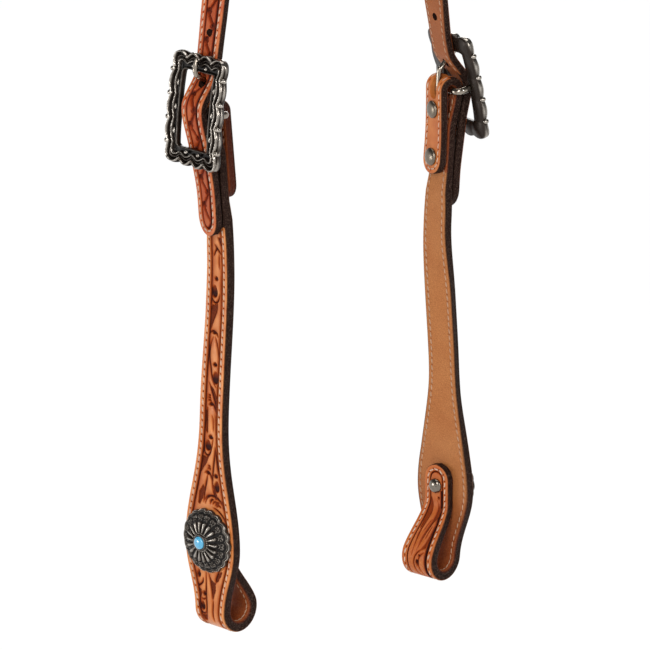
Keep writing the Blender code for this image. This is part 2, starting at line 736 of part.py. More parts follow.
def wire(name, points, radius, material, matrix, radii=None):
    """A round wire through the points, with filled ends."""
    curve = bpy.data.curves.new(name, "CURVE")
    curve.dimensions = "3D"
    curve.bevel_depth = radius
    curve.bevel_resolution = 2
    curve.use_fill_caps = True
    spline = curve.splines.new("POLY")
    spline.points.add(len(points) - 1)
    for i, point in enumerate(points):
        spline.points[i].co = (*point, 1)
        spline.points[i].radius = radii[i] if radii else 1
    spline.use_smooth = True
    return add_object(name, curve, material, headstall, matrix)


def bar_points():
    """The staple bar in the buckle's frame: straight through the fold, then bent out to the back of each rail."""
    straight = STRAP_WIDTH / 2 + BAR_SIDE_CLEARANCE
    leg = straight + BAR_BEND
    end = BAR_DEPTH - FRAME_THICKNESS / 2 - GAP
    half = [(BAR_BEND * (1 - math.cos(a)), 0, straight + BAR_BEND * math.sin(a)) for a in swept(0, math.pi / 2, 4)]
    half = [(p, v, q) for p, q, v in half] + [(end, leg, 0)]
    return [(p, -v, q) for p, v, q in reversed(half)] + [(0, -straight, 0), (0, straight, 0)] + half


def build_buckle(side):
    matrix = side.buckle_matrix()
    add_object(side.name + "_buckle_frame", frame_mesh(side.name + "_buckle_frame"), dark_metal, headstall, matrix)
    wire(side.name + "_buckle_bar", bar_points(), BAR_RADIUS, bright_metal, matrix)
    points = [(p, 0, q) for p, q in tongue_points()]
    radii = [1] * (len(points) - 1) + [TONGUE_TIP_SHARE]
    wire(side.name + "_buckle_tongue", points, TONGUE_RADIUS, dark_metal, matrix, radii)


def concho_rows():
    """(radius, height above the back, petal share, lobe share) along the concho from its centre over the top, round
    the rim and back under it."""
    def swell(radius):
        return CONCHO_RIM_THICKNESS + CONCHO_HEIGHT * (1 - (radius / CONCHO_RADIUS) ** 2)

    bore = BEZEL_RADIUS - BEZEL_WALL
    seat = swell(BEZEL_RADIUS)
    petal_in, petal_out = BEZEL_RADIUS + BEZEL_WALL, CONCHO_RADIUS * PETAL_REACH_SHARE
    rows = [(0, seat, 0, 0), (bore, seat, 0, 0), (bore, seat + BEZEL_HEIGHT, 0, 0)]
    rows += [(BEZEL_RADIUS, seat + BEZEL_HEIGHT, 0, 0), (petal_in, swell(petal_in) - PETAL_HEIGHT, 0, 0)]
    for share in PETAL_ROW_SHARES:
        radius = petal_in + (petal_out - petal_in) * share
        rows.append((radius, swell(radius), math.sin(math.pi * share) ** (1 / 2), 0))
    rows.append((petal_out, swell(petal_out) - PETAL_HEIGHT, 0, 0))
    rim_in = (petal_out + CONCHO_RADIUS) / 2
    rows.append((rim_in, swell(rim_in) + PETAL_HEIGHT / 2, 0, 1 / 2))
    rows += [(CONCHO_RADIUS, CONCHO_RIM_THICKNESS, 0, 1), (CONCHO_RADIUS, 0, 0, 1), (0, 0, 0, 0)]
    return rows


def concho_mesh(name):
    rows = concho_rows()
    per_lobe = 4
    columns = CONCHO_LOBES * per_lobe

    def place(i, j):
        radius, height, petal, lobe = rows[j]
        angle = 2 * math.pi * i / columns
        wave = math.cos(CONCHO_LOBES * angle)
        radius -= lobe * CONCHO_LOBE_DEPTH * (1 - wave) / 2
        height += petal * PETAL_HEIGHT * wave
        return Vector((radius * math.cos(angle), radius * math.sin(angle), height))

    return closed_mesh(name, columns, len(rows) - 1, place)


def build_concho(side):
    matrix = side.matrix(0, -side.concho_drop)
    lower = -side.concho_drop
    back = CHEEK_OUTER_U + GAP
    name = side.name + "_concho"
    concho = add_object(name, concho_mesh(name), dark_metal, headstall, side.matrix(back, lower))
    bore = BEZEL_RADIUS - BEZEL_WALL - GAP
    seat = back + CONCHO_RIM_THICKNESS + CONCHO_HEIGHT * (1 - (BEZEL_RADIUS / CONCHO_RADIUS) ** 2) + GAP
    girdle = seat + STONE_HEIGHT * STONE_WALL_SHARE
    crown = list(reversed(dome(bore, girdle, -STONE_HEIGHT * (1 - STONE_WALL_SHARE), 5)))
    stone = turned_object(name + "_stone", crown + [(bore, seat), (0, seat)], turquoise, matrix, 20)
    face_out = LOOP_TAB_U - SEAM - CHEEK_FACE
    floor = CHEEK_OUTER_U - BEZEL_WALL
    post = [(0, CHEEK_OUTER_U), (POST_RADIUS, CHEEK_OUTER_U), (POST_RADIUS, face_out), (POST_BORE, face_out)]
    post += [(POST_BORE, floor), (0, floor)]
    post = turned_object(name + "_post", post, bright_metal, matrix, 16)
    under = face_out - GAP
    rim = under - SCREW_HEAD_HEIGHT * CAP_RIM_SHARE
    screw = [(0, floor - GAP), (SCREW_RADIUS, floor - GAP), (SCREW_RADIUS, under), (SCREW_HEAD_RADIUS, under)]
    screw += [(SCREW_HEAD_RADIUS, rim)] + dome(SCREW_HEAD_RADIUS, rim, SCREW_HEAD_HEIGHT, 5)
    head = turned_object(side.name + "_bit_screw", screw, rivet_metal, matrix, 20)
    work = bmesh.new()
    bmesh.ops.create_cube(work, size=1)
    size = (2 * (SCREW_HEAD_RADIUS + OVERRUN), SLOT_WIDTH, 2 * SLOT_DEPTH)
    bmesh.ops.scale(work, verts=work.verts, vec=size)
    bmesh.ops.translate(work, verts=work.verts, vec=(0, 0, rim - SCREW_HEAD_HEIGHT))
    mesh = bpy.data.meshes.new(side.name + "_screw_slot")
    work.to_mesh(mesh)
    work.free()
    cut(head, add_cutter(side.name + "_screw_slot", mesh, matrix))
    return [concho, stone, post, head]


def hang(side, pieces):
    """Parents what swings on the buckle bar to an empty on the bar's axis."""
    pivot = add_object(side.name + "_bar_axis", None, None, headstall, side.buckle_matrix())
    for piece in pieces:
        piece.parent = pivot
        piece.matrix_parent_inverse = side.buckle_matrix().inverted()


clear_scene()
headstall = new_collection("western_headstall")
cutters = new_collection("cutters")
tooled = new_material("tooled leather", "#C56A35", 0.42, 0)
smooth_leather = new_material("smooth lining leather", "#BE8350", 0.55, 0)
dark_metal = new_material("antiqued nickel silver", "#6A655D", 0.35, 1)
bright_metal = new_material("polished nickel silver", "#B9B5AC", 0.25, 1)
rivet_metal = new_material("nickel plate", "#A39F96", 0.3, 1)
turquoise = new_material("turquoise", "#56B6DF", 0.2, 0)

left_side, right_side = Side(0), Side(1)
build_crown(left_side, right_side)
for each in (left_side, right_side):
    hung = build_cheek(each) + build_rivets(each) + build_concho(each)
    hang(each, hung)
    build_buckle(each)
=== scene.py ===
"""Looks of the western headstall: tooled and lined leather straps with their stitching, two scalloped buckles,
conchos with turquoise stones, cap rivets and bit screws. Metres, +Z up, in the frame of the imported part."""
import math

import bmesh
import bpy
import numpy as np
from mathutils import Matrix, Vector


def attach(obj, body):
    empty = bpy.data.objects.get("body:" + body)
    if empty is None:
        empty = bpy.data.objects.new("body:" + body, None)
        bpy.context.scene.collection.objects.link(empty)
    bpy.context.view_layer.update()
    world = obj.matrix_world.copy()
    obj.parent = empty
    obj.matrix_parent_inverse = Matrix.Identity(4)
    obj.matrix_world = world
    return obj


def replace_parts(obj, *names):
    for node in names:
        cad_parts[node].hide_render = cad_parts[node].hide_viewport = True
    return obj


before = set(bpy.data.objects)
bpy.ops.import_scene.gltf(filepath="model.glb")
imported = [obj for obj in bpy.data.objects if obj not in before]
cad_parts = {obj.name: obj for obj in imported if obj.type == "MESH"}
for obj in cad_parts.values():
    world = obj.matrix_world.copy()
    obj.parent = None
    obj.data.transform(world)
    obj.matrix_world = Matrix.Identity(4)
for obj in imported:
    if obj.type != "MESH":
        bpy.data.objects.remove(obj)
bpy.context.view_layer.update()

# Sizes of the frame's straps and buckles, in metres.
STRAP_WIDTH = 0.0162
CHEEK_FACE = 0.0026
CHEEK_LINING = 0.0027
SKIVED_LINING = 0.0016
CROWN_FACE = 0.0021
CROWN_LINING = 0.0018
GAP = 0.0003
SEAM = GAP / 2
TIP_FLAT = 0.0040
BILLET_POINT = 0.0110
HANGER_RADIUS = 0.0550
BAR_CENTRE_X = (-0.0807, 0.0925)
BAR_CENTRE_Z = (-0.2310, -0.2470)
TAIL_LENGTH = 0.0640
HOLE_SPACING = 0.0250
HOLE_RADIUS = 0.0021
SPARE_HOLES = 3
TOP_BAR_CLEARANCE = 0.0008
BULGE_PEAK = 0.0015
BULGE_ROOM = 0.0015
TAIL_REST = 0.0007
TAIL_OFF_RAIL = (0, 0.0006)
BULGE_FOOT = 0.0450
TONGUE_HOLE_UP = 0.0145
FRAME_BAND = 0.0084
FRAME_THICKNESS = 0.0042
WINDOW_WIDTH = 0.0242
WINDOW_HEIGHT = 0.0390
WINDOW_CORNER = 0.0012
SCALLOP_DEPTH = 0.0014
CORNER_SWELL = 0.0012
SIDE_CUSP_SPACING = 0.0122
TOP_CUSP_SPACING = 0.0098
FRAME_ARCH = 0.0014
BAR_DEPTH = 0.0100
BAR_RADIUS = 0.0020
BAR_BEND = 0.0034
BAR_SIDE_CLEARANCE = 0.0022
TONGUE_RADIUS = 0.0014
TONGUE_PAST_MIDDLE = 0.0020
TONGUE_JOG = 0.0063
TONGUE_ROOM = 0.0006
TONGUE_LIFT_ROOM = 0.0020
TONGUE_WRAP = math.radians(262)
TONGUE_RISE = math.radians(72)
BUCKLE_TILT = (math.radians(6.8), math.radians(11.5))
CHEEK_LEAN = (math.radians(0.2), math.radians(0.9))
CHEEK_LENGTHS = (0.2755, 0.2705)
FOLD_TAB_LENGTH = 0.0460
FOLD_CLOSING = 0.0240
LINING_THICKENS_OVER = 0.0100
EAR_SLOT_WIDTH = 0.0064
EAR_SLOT_FOOT = 0.0054
RIVET_DROPS = (0.0110, 0.0370)
RIVET_CAP_RADIUS = 0.0047
RIVET_CAP_HEIGHT = 0.0019
RIVET_POST_RADIUS = 0.0016
CONCHO_DROPS = (0.2255, 0.2190)
FLARE_WIDTH = 0.0358
FLARE_DROP = 0.0030
FLARE_UPPER_LENGTH = 0.0750
FLARE_LOWER_LENGTH = 0.0360
LOOP_WIDTH = 0.0215
LOOP_BORE_RADIUS = 0.0065
LOOP_TAB_WIDTH = 0.0165
LOOP_TAB_ABOVE = 0.0115
LOOP_TAB_BELOW = 0.0085
LOOP_LIFT = math.radians(20)
CONCHO_RADIUS = 0.0170
CONCHO_LOBES = 18
CONCHO_LOBE_DEPTH = 0.0009
CONCHO_RIM_THICKNESS = 0.0012
CONCHO_HEIGHT = 0.0050
PETAL_HEIGHT = 0.0008
BEZEL_RADIUS = 0.0042
BEZEL_WALL = 0.0007
BEZEL_HEIGHT = 0.0010
STONE_HEIGHT = 0.0020
POST_RADIUS = 0.0026
POST_BORE = 0.0019
SCREW_RADIUS = 0.0016
SCREW_HEAD_RADIUS = 0.0040
SCREW_HEAD_HEIGHT = 0.0022
SLOT_WIDTH = 0.0009
SLOT_DEPTH = 0.0011
CAP_RIM_SHARE = 0.2
CROWN_FOOT_SLOPE = 0.1
TURN_HEIGHTS = (
    (-CHEEK_LENGTHS[0], -0.1950, -0.1520, -0.1010, -0.0740, -0.0520, -0.0080, 0.0260, 0.0570),
    (-CHEEK_LENGTHS[1], -0.2050, -0.1700, -0.1150, -0.0700, -0.0400, -0.0080, 0.0260, 0.0570),
)
TURN_DEGREES = ((1, 1, -1.5, 3, 6, 11.5, 6.5, 6.5, 1), (-1, -2, -13, -13, 2, 14, 17, 17, 8))
BOW_HEIGHTS = (
    (-CHEEK_LENGTHS[0], -0.2230, -0.1600, -0.0850, 0, 0.0080),
    (-CHEEK_LENGTHS[1], -0.2230, -0.1650, -0.0850, -0.0200, 0.0080),
)
BOW_OFFSETS = ((0, 0, -0.0015, -0.0060, 0, 0), (-0.0040, 0, 0, -0.0058, -0.0004, 0))
BOW_SLOPES = ((0, 0, -0.04, 0, 0.09, 0), (0.1, 0, 0, 0, 0.04, 0))

BAND_HALF_WIDTH = (WINDOW_WIDTH + FRAME_BAND) / 2
BAND_HALF_HEIGHT = (WINDOW_HEIGHT + FRAME_BAND) / 2
FOLD_SEAM_RADIUS = BAR_RADIUS + GAP + SKIVED_LINING + SEAM
FOLD_OUTER_RADIUS = FOLD_SEAM_RADIUS + SEAM + CHEEK_FACE
CHEEK_U = -FOLD_SEAM_RADIUS + 2 * (SEAM + SKIVED_LINING) + GAP
CHEEK_OUTER_U = CHEEK_U + SEAM + CHEEK_FACE
BULGE_U = FOLD_OUTER_RADIUS + BULGE_ROOM + CROWN_LINING + SEAM
TAIL_U = CHEEK_OUTER_U + TAIL_REST + CROWN_LINING + SEAM
FRAME_END_P = BAR_DEPTH - FRAME_ARCH
FRAME_BACK_P = FRAME_END_P - FRAME_THICKNESS / 2
LOOP_RADIUS = LOOP_BORE_RADIUS + CHEEK_LINING + SEAM
LOOP_TAB_U = CHEEK_U - SEAM - CHEEK_LINING - GAP - SKIVED_LINING - SEAM
CROWN_RADIUS = HANGER_RADIUS + CROWN_LINING + SEAM
HANGER_CENTRE = Vector((0, 0, -HANGER_RADIUS))
UP = Vector((0, 0, 1))

# Leatherwork, in metres: stitches about seven to the inch, a knife line beside them, and the mesh steps that show it.
STITCH_PITCH = 0.0038
STITCH_INSET = 0.0023
BORDER_INSET = 0.0040
TOOLING_STEP = 0.0004
LINING_STEP = 0.0010
# Each bend of a cheek is divided this many times finer than in the frame's solids.
FINER = 6
# A stitch's half length, half width and half height, how far it is sunk, and how far it leans off the seam's way.
STITCH_SIZE = (0.00156, 0.00044, 0.00034)
STITCH_SUNK = 0.00006
STITCH_SLANT = math.radians(9)
# Turns a sphere so that its poles lie at the ends of the stitch.
LENS_TURN = Matrix.Rotation(math.pi / 2, 4, "Y")
# The stitch groove's inset, width and depth, and the radius, depth and darkness of the lining's awl holes.
STITCH_GROOVE = (STITCH_INSET, 0.0005, 0.00012)
LINING_HOLES = (0.0005, 0.0002, 0.7)
FACE_EDGE_ROUND = 0.0007
LINING_EDGE_ROUND = 0.0006
# How far the edge's black reaches in: edge dye on a clean edge, painted shade where one strap lies on another.
EDGE_DYE = 0.00035
PAINTED_SHADE_REACH = 0.0030
# The crown's tail and the stretch above it, which lie on the cheek, and where that is on the cheek, below the bar.
COVERED_TAIL = TAIL_LENGTH + 0.012
UNDER_TAIL = (-0.007, TAIL_LENGTH - 0.004)
# How far below the bar a cheek's face is left plain, and its lining is red brown: oil with painted shade in the fold.
PLAIN_LENGTH = 0.050
OILED_AND_SHADED_LENGTH = 0.045
# How near to a strap's tip the curve of its outline counts.
NEAR_TIP = 0.014
# The concho's face, from the bezel outwards: where it starts, the ring of beads, the petals and the rim's scrolls.
FACE_START = 0.0044
CONCHO_BEADS = 30
BEAD_RING = 0.00485
BEAD_RING_OUTER = 0.0053
PETAL_LENGTH = 0.0054
PETALS_OUTER = 0.0108
SCROLL_RING = 0.01360
# Steps round the rods, across the buckle's band, along one scallop of it, and round one lobe of the concho.
ROD_SIDES = 20
BAND_STEPS = 30
SCALLOP_STEPS = 24
LOBE_STEPS = 28
# How far each screw's slot has turned from the near-to-far direction when it is tight.
SLOT_TURN = math.radians(-30)

# Floral tooling of the cheeks, in millimetres: how far below the buckle bar, and how far from the middle towards the
# near edge. Cuts are (how dark, how far the shade beside them runs, points), seeds are (middle, half length, half
# width), and grounds are the outlines of the matted hollows between leaves.
CHEEK_CUTS = (
    (0.9, 0.8, ((70.6, -1.5), (72.2, -0.2), (73.9, 1.9), (75.4, 3.6))),
    (0.7, 0.5, ((76.7, -2.1), (74.2, -1.1), (72.9, 0.3))),
    (0.45, 0.4, ((75.5, 2.0), (79.4, 1.6), (83.3, 2.1))),
    (0.6, 0.7, ((66.4, 1.5), (68.7, 2.7), (71.3, 3.9))),
    (0.7, 0.6, ((98.2, -4.0), (101.0, -2.5), (101.7, -0.4), (99.9, 1.7), (96.3, 2.3))),
    (0.6, 0.6, ((101.5, 1.1), (106.0, 0.3), (110.6, -1.9), (115.1, -3.1))),
    (0.4, 0.3, ((79.4, 3.6), (87.2, 3.3), (95.0, 3.0), (102.8, 3.7), (107.3, 4.5))),
    (0.95, 0.7, ((117.6, -3.6), (116.4, -2.3), (116.3, -0.4), (117.3, 1.5), (119.0, 2.8))),
    (0.7, 0.6, ((119.2, -0.8), (122.3, -2.3), (126.2, -3.1), (130.7, -2.9), (135.9, -1.4), (140.5, -0.5),
                (143.7, 1.1), (145.4, 3.1))),
    (0.5, 0.4, ((119.0, 0.5), (122.9, 2.1), (127.5, 3.4), (132.7, 4.2))),
    (0.8, 0.7, ((143.1, -2.0), (146.3, -0.7), (149.9, 1.1), (153.5, 2.6), (158.7, 3.9))),
    (0.7, 0.5, ((145.0, -0.3), (148.3, 2.0), (152.2, 3.8))),
    (0.5, 0.3, ((150.1, -2.4), (149.6, -1.6), (150.4, -0.6))),
    (0.5, 0.3, ((151.4, -2.5), (150.8, -1.3), (151.5, -0.2))),
    (0.5, 0.3, ((152.7, -2.4), (152.1, -1.1), (153.0, 0.2))),
    (0.95, 0.7, ((154.8, -1.8), (153.6, -0.5), (153.9, 1.2), (156.1, 2.6), (159.3, 3.9))),
    (0.6, 0.5, ((156.1, -2.3), (161.3, -2.8), (166.5, -2.7), (169.7, -2.0))),
    (0.35, 0.3, ((160.0, 1.0), (163.9, 1.7), (168.4, 1.9))),
    (0.4, 0.3, ((159.3, 2.9), (165.2, 3.5), (171.0, 3.7))),
    (0.7, 0.6, ((173.0, -3.9), (176.9, -4.5), (180.5, -4.0), (181.8, -2.2), (180.9, -0.3), (176.9, 1.1), (171.7, 2.1))),
    (0.8, 0.6, ((176.2, 3.5), (182.1, 3.1), (188.6, 2.4), (193.8, 2.0), (199.0, 2.2))),
    (0.7, 0.5, ((176.2, 3.5), (181.4, 4.4), (186.6, 5.6), (191.2, 6.7))),
    (0.5, 0.3, ((187.4, -1.4), (186.8, -0.4), (187.5, 0.5))),
    (0.5, 0.3, ((188.7, -1.8), (187.9, -0.4), (188.8, 0.9))),
    (0.95, 0.7, ((191.2, -3.7), (190.1, -2.0), (190.5, -0.1), (192.5, 1.1), (195.1, 1.9))),
    (0.6, 0.5, ((191.2, -6.6), (194.4, -7.8), (199.6, -9.1), (205.5, -10.2))),
    (0.6, 0.5, ((191.8, -1.3), (196.4, -2.5), (201.6, -3.7), (206.8, -4.0))),
    (0.7, 0.5, ((197.0, 2.4), (200.3, 3.8), (201.9, 5.7))),
    (0.6, 0.4, ((199.0, 2.3), (202.2, 3.8), (204.2, 5.0))),
    (0.8, 0.7, ((207.4, -2.9), (204.2, -1.8), (202.4, 0.8), (202.2, 4.3), (203.7, 7.8), (206.8, 10.5))),
    (0.5, 0.4, ((206.8, 2.4), (205.3, 3.4), (205.0, 5.2))),
    (0.5, 0.4, ((207.4, 4.1), (206.1, 5.3), (206.0, 7.1))),
    (0.8, 0.7, ((205.8, -3.5), (203.8, -2.2), (202.5, 0.1), (202.5, 3.9), (203.8, 7.3), (206.9, 10.2))),
    (0.6, 0.5, ((206.9, 0.8), (204.6, 1.2), (204.2, 3.4))),
    (0.6, 0.5, ((208.7, 3.0), (209.0, 5.1), (210.5, 8.2), (212.8, 11.0), (215.6, 12.3))),
    (0.5, 0.4, ((206.3, 4.1), (205.1, 5.7), (205.5, 7.6))),
    (0.5, 0.4, ((207.8, 4.9), (206.5, 6.7), (207.4, 9.0))),
    (0.8, 0.4, ((252.8, -9.4), (252.8, -8.0), (251.2, -5.7), (249.6, -4.7), (247.6, -4.5))),
    (0.8, 0.4, ((254.8, -4.7), (257.6, -6.3), (260.4, -7.6), (262.8, -7.7), (265.2, -7.3), (266.4, -5.8),
                (266.8, -4.3), (266.0, -2.8), (264.0, -2.1))),
    (0.9, 0.5, ((244.2, -2.4), (250.4, -2.4), (257.2, -2.5), (261.2, -2.1), (266.0, -2.0), (269.6, -3.2))),
    (1.0, 0.8, ((244.4, -0.4), (249.2, 0.9), (252.0, 1.5), (254.8, 2.0), (258.0, 2.1))),
    (0.9, 0.5, ((249.2, 4.8), (246.8, 4.8), (244.4, 5.8), (241.0, 7.8))),
    (0.5, 0.3, ((258.4, 2.8), (262.4, 2.5), (266.0, 2.3), (269.6, 2.3))),
    (0.5, 0.3, ((258.0, -2.4), (259.2, -3.6), (259.6, -4.9), (258.8, -5.7))),
)
CHEEK_SEEDS = (
    ((88.5, -0.3), 1.3, 1.5),
    ((95.5, -1.5), 3.4, 2.3),
    ((72.6, 0.1), 0.9, 1.2),
    ((133.2, 1.4), 1.2, 1.6),
    ((140.2, 2.0), 3.5, 2.4),
    ((117.0, -0.6), 0.8, 1.4),
    ((171.4, 0.2), 1.3, 1.7),
    ((176.2, -1.6), 3.0, 2.4),
    ((154.3, -0.1), 0.9, 1.5),
    ((191.3, 4.6), 1.3, 1.6),
    ((196.9, 5.3), 3.2, 2.1),
    ((190.9, -1.1), 0.8, 1.6),
    ((230.0, -8.5), 1.7, 1.2),
    ((246.0, -7.7), 2.2, 1.4),
    ((256.0, -3.7), 1.5, 1.2),
    ((262.8, -4.7), 2.4, 1.6),
)
CHEEK_GROUNDS = (
    ((102.9, -2.8), (101.9, 0.8), (106.0, 0.3), (110.3, -1.7), (114.5, -3.4), (108.6, -4.3)),
    ((66.4, 3.6), (66.4, 2.1), (69.3, 3.3), (71.6, 4.1)),
    ((145.0, -1.4), (145.4, 0.6), (149.6, 3.5), (153.5, 4.9), (159.3, 4.3), (153.5, 2.8), (148.3, 0.6)),
    ((156.1, -2.3), (158.7, -3.2), (169.1, -3.0), (169.7, -2.0), (163.9, -1.6)),
    ((182.1, -4.6), (182.5, -2.5), (181.4, -0.3), (185.3, -1.9), (190.9, -5.9), (191.2, -6.6), (186.6, -5.7)),
    ((194.4, 2.2), (199.0, 4.1), (202.2, 5.7), (204.2, 5.2), (200.9, 3.0)),
    ((197.4, -4.2), (199.0, -3.8), (205.5, -5.0), (208.1, -6.7), (208.1, -8.1), (201.6, -6.9)),
    ((197.7, -4.7), (200.0, -3.6), (205.2, -4.8), (208.7, -6.9), (206.9, -8.0), (201.7, -7.3)),
    ((203.5, 8.7), (204.0, 10.3), (209.2, 11.0), (206.9, 9.9)),
    ((253.6, -9.9), (253.6, -7.6), (254.4, -5.8), (256.4, -5.7), (260.0, -8.2), (258.8, -9.2), (256.4, -9.7)),
    ((245.0, -0.2), (250.0, 0.9), (253.6, 1.7), (257.6, 2.1), (258.4, 2.8), (252.8, 4.9), (249.2, 4.8),
     (248.4, 3.0), (247.2, 1.4)),
    ((245.6, 5.5), (242.4, 7.9), (241.2, 10.0), (244.0, 9.0), (247.6, 6.7), (248.4, 5.1)),
    ((267.6, -5.5), (267.2, -3.5), (267.2, -2.6), (270.4, -3.6), (270.0, -5.2)),
)
# The marks on the bit loop's tab: millimetres from the screw towards the loop's foot, and towards the near edge.
LOOP_CUTS = (
    (1.0, 1.3, ((7.0, -3.4), (12.6, -1.6), (18.5, -1.9), (24.3, -3.3), (30.1, -4.0), (35.9, -3.6), (41.8, -3.8))),
    (1.0, -1.5, ((8.3, 0.6), (12.0, 2.2), (15.1, 2.5), (20.9, 1.9), (26.7, 0.6), (32.5, -0.8), (37.4, -1.2))),
    (1.0, -1.2, ((14.5, 5.2), (18.5, 3.9), (22.5, 2.0), (28.0, 0.6), (34.0, -0.2), (40.0, -1.4))),
    (0.9, 1.0, ((18.0, 5.2), (24.5, 4.3), (29.5, 4.3), (34.5, 3.6), (37.5, 2.2), (40.5, -0.4))),
    (1.0, 1.2, ((37.0, 4.9), (38.6, 0.9), (41.5, -1.6), (45.5, -2.6), (50.0, -1.6), (53.0, 1.0))),
    (0.9, -1.0, ((39.0, 4.9), (40.5, 2.2), (43.5, 0.9), (48.0, 1.2), (52.0, 3.4))),
    (0.7, 0.6, ((20.0, 0.6), (24.5, -0.9), (29.0, -2.0))),
    (0.7, 0.6, ((24.0, 2.9), (28.5, 2.0), (33.0, 1.6))),
)
LOOP_SEEDS = (((7.2, 1.6), 1.0, 0.8), ((44.8, 0.1), 2.0, 1.0), ((41.2, 1.4), 0.7, 0.6))
LOOP_GROUNDS = (
    ((7.0, -4.9), (7.5, -3.0), (12.6, -1.9), (18.5, -2.2), (24.3, -3.6), (28.0, -4.6), (18.0, -4.9)),
    ((12.0, 2.9), (14.5, 4.9), (18.5, 3.4), (22.5, 1.6), (20.5, 2.0), (15.1, 2.8)),
    ((29.0, 4.9), (29.5, 4.3), (34.5, 3.4), (37.5, 1.8), (38.0, 3.0), (36.6, 4.9)),
)


def linear(code):
    """The linear colour of an sRGB code such as #8A5A2B."""
    shares = [int(code[i : i + 2], 16) / 255 for i in (1, 3, 5)]
    return (*(s / 12.92 if s <= 0.04045 else ((s + 0.055) / 1.055) ** 2.4 for s in shares), 1)


def eased(stations, at):
    """Value at a place along stations of (place, value, slope), which cubic curves join."""
    for (a, first, leaving), (b, last, arriving) in zip(stations, stations[1:]):
        if at <= b:
            run = b - a
            t = (at - a) / run
            return (
                first * (1 + 2 * t) * (1 - t) ** 2
                + leaving * run * t * (1 - t) ** 2
                + last * t * t * (3 - 2 * t)
                + arriving * run * t * t * (t - 1)
            )
    return stations[-1][1] + (at - stations[-1][0]) * stations[-1][2]


def swept(start, stop, count):
    """Evenly spaced values after start, up to stop."""
    return [start + (stop - start) * i / count for i in range(1, count + 1)]


def axes_at(place, x, y, z):
    """The frame at a place whose X, Y and Z point the given ways."""
    return Matrix.Translation(place) @ Matrix((x, y, z)).transposed().to_4x4()


class Side:
    """One side of the headstall, with the frame of its buckle bar: u outwards, v to the near edge, z up the cheek."""

    def __init__(self, index):
        self.name = ("left", "right")[index]
        self.sign = (-1, 1)[index]
        self.centre = Vector((BAR_CENTRE_X[index], 0, BAR_CENTRE_Z[index]))
        self.tilt = BUCKLE_TILT[index]
        self.lean = CHEEK_LEAN[index]
        self.concho_drop = CONCHO_DROPS[index]
        self.stations = [(z, math.radians(turn), 0) for z, turn in zip(TURN_HEIGHTS[index], TURN_DEGREES[index])]
        self.bows = list(zip(BOW_HEIGHTS[index], BOW_OFFSETS[index], BOW_SLOPES[index]))
        self.tail_off_rail = TAIL_OFF_RAIL[index]
        self.loop_z = -(CHEEK_LENGTHS[index] - LOOP_RADIUS - SEAM - CHEEK_FACE)

    def heading(self, z):
        return eased(self.stations, max(z, self.stations[0][0]))

    def outward(self, z):
        angle = self.heading(z)
        return self.sign * Vector((math.cos(angle), -math.sin(angle), 0))

    def near(self, z):
        return near_at(self.heading(z))

    def bow(self, z):
        """How far the strap's line is off its straight lean at a height, and the angle that this adds to the lean."""
        if z >= self.bows[-1][0]:
            return 0, 0
        low, high = (eased(self.bows, max(at, self.bows[0][0])) for at in (z - GAP, z + GAP))
        return (low + high) / 2, -math.atan2(high - low, 2 * GAP)

    def place(self, u, v, z, heading_z=None):
        at = z if heading_z is None else heading_z
        offset, slope = self.bow(z)
        across = u * math.cos(self.lean + slope) - z * math.sin(self.lean) + offset
        height = u * math.sin(self.lean + slope) + z * math.cos(self.lean)
        return self.centre + across * self.outward(at) + v * self.near(at) + height * UP

    def matrix(self, u, z, heading_z=None):
        """Frame at (u, z) whose Z points outwards and X towards the near edge."""
        at = z if heading_z is None else heading_z
        angle = self.lean + self.bow(z)[1]
        out = math.cos(angle) * self.outward(at) + math.sin(angle) * UP
        near = self.near(at)
        return axes_at(self.place(u, 0, z, at), near, out.cross(near), out)

    def buckle_matrix(self):
        """Frame of the tilted buckle at its bar: X is out through the frame, Y the bar's direction, Z up the frame."""
        angle = self.lean + self.tilt
        out = math.cos(angle) * self.outward(0) + math.sin(angle) * UP
        near = -self.sign * self.near(0)
        return axes_at(self.centre, out, near, out.cross(near))


def near_at(angle):
    return Vector((-math.sin(angle), -math.cos(angle), 0))


def tip_stops(half_width, length, count):
    """(distance from the tip, width) along a rounded strap end, from the tip inwards."""
    start = length * (1 - math.cos(math.asin(TIP_FLAT / 2 / half_width)))
    angles = [0.02] + swept(0.02, math.pi / 2, count)
    return [(length * (1 - math.cos(a)) - start, 2 * half_width * math.sin(a)) for a in angles]


def tangent_to_hanger(point, side):
    """Where the crown, coming straight up from the point, meets its round stretch over the hanger."""
    apart = HANGER_CENTRE - point
    flat = Vector((apart.x, 0, apart.z))
    turn = side.sign * math.asin(CROWN_RADIUS / flat.length)
    run = math.sqrt(flat.length_squared - CROWN_RADIUS**2)
    return Vector((point.x, 0, point.z)) + run * (Matrix.Rotation(turn, 3, "Y") @ flat.normalized())


def behind_rail(side, q):
    """(u, z) of the crown's seam line where it lies against the back of the top rail at a height up the frame."""
    c, s = math.cos(side.tilt), math.sin(side.tilt)
    edge_u, edge_z = FRAME_BACK_P * c - q * s, FRAME_BACK_P * s + q * c
    return edge_u - TOP_BAR_CLEARANCE - CROWN_FACE - SEAM, edge_z


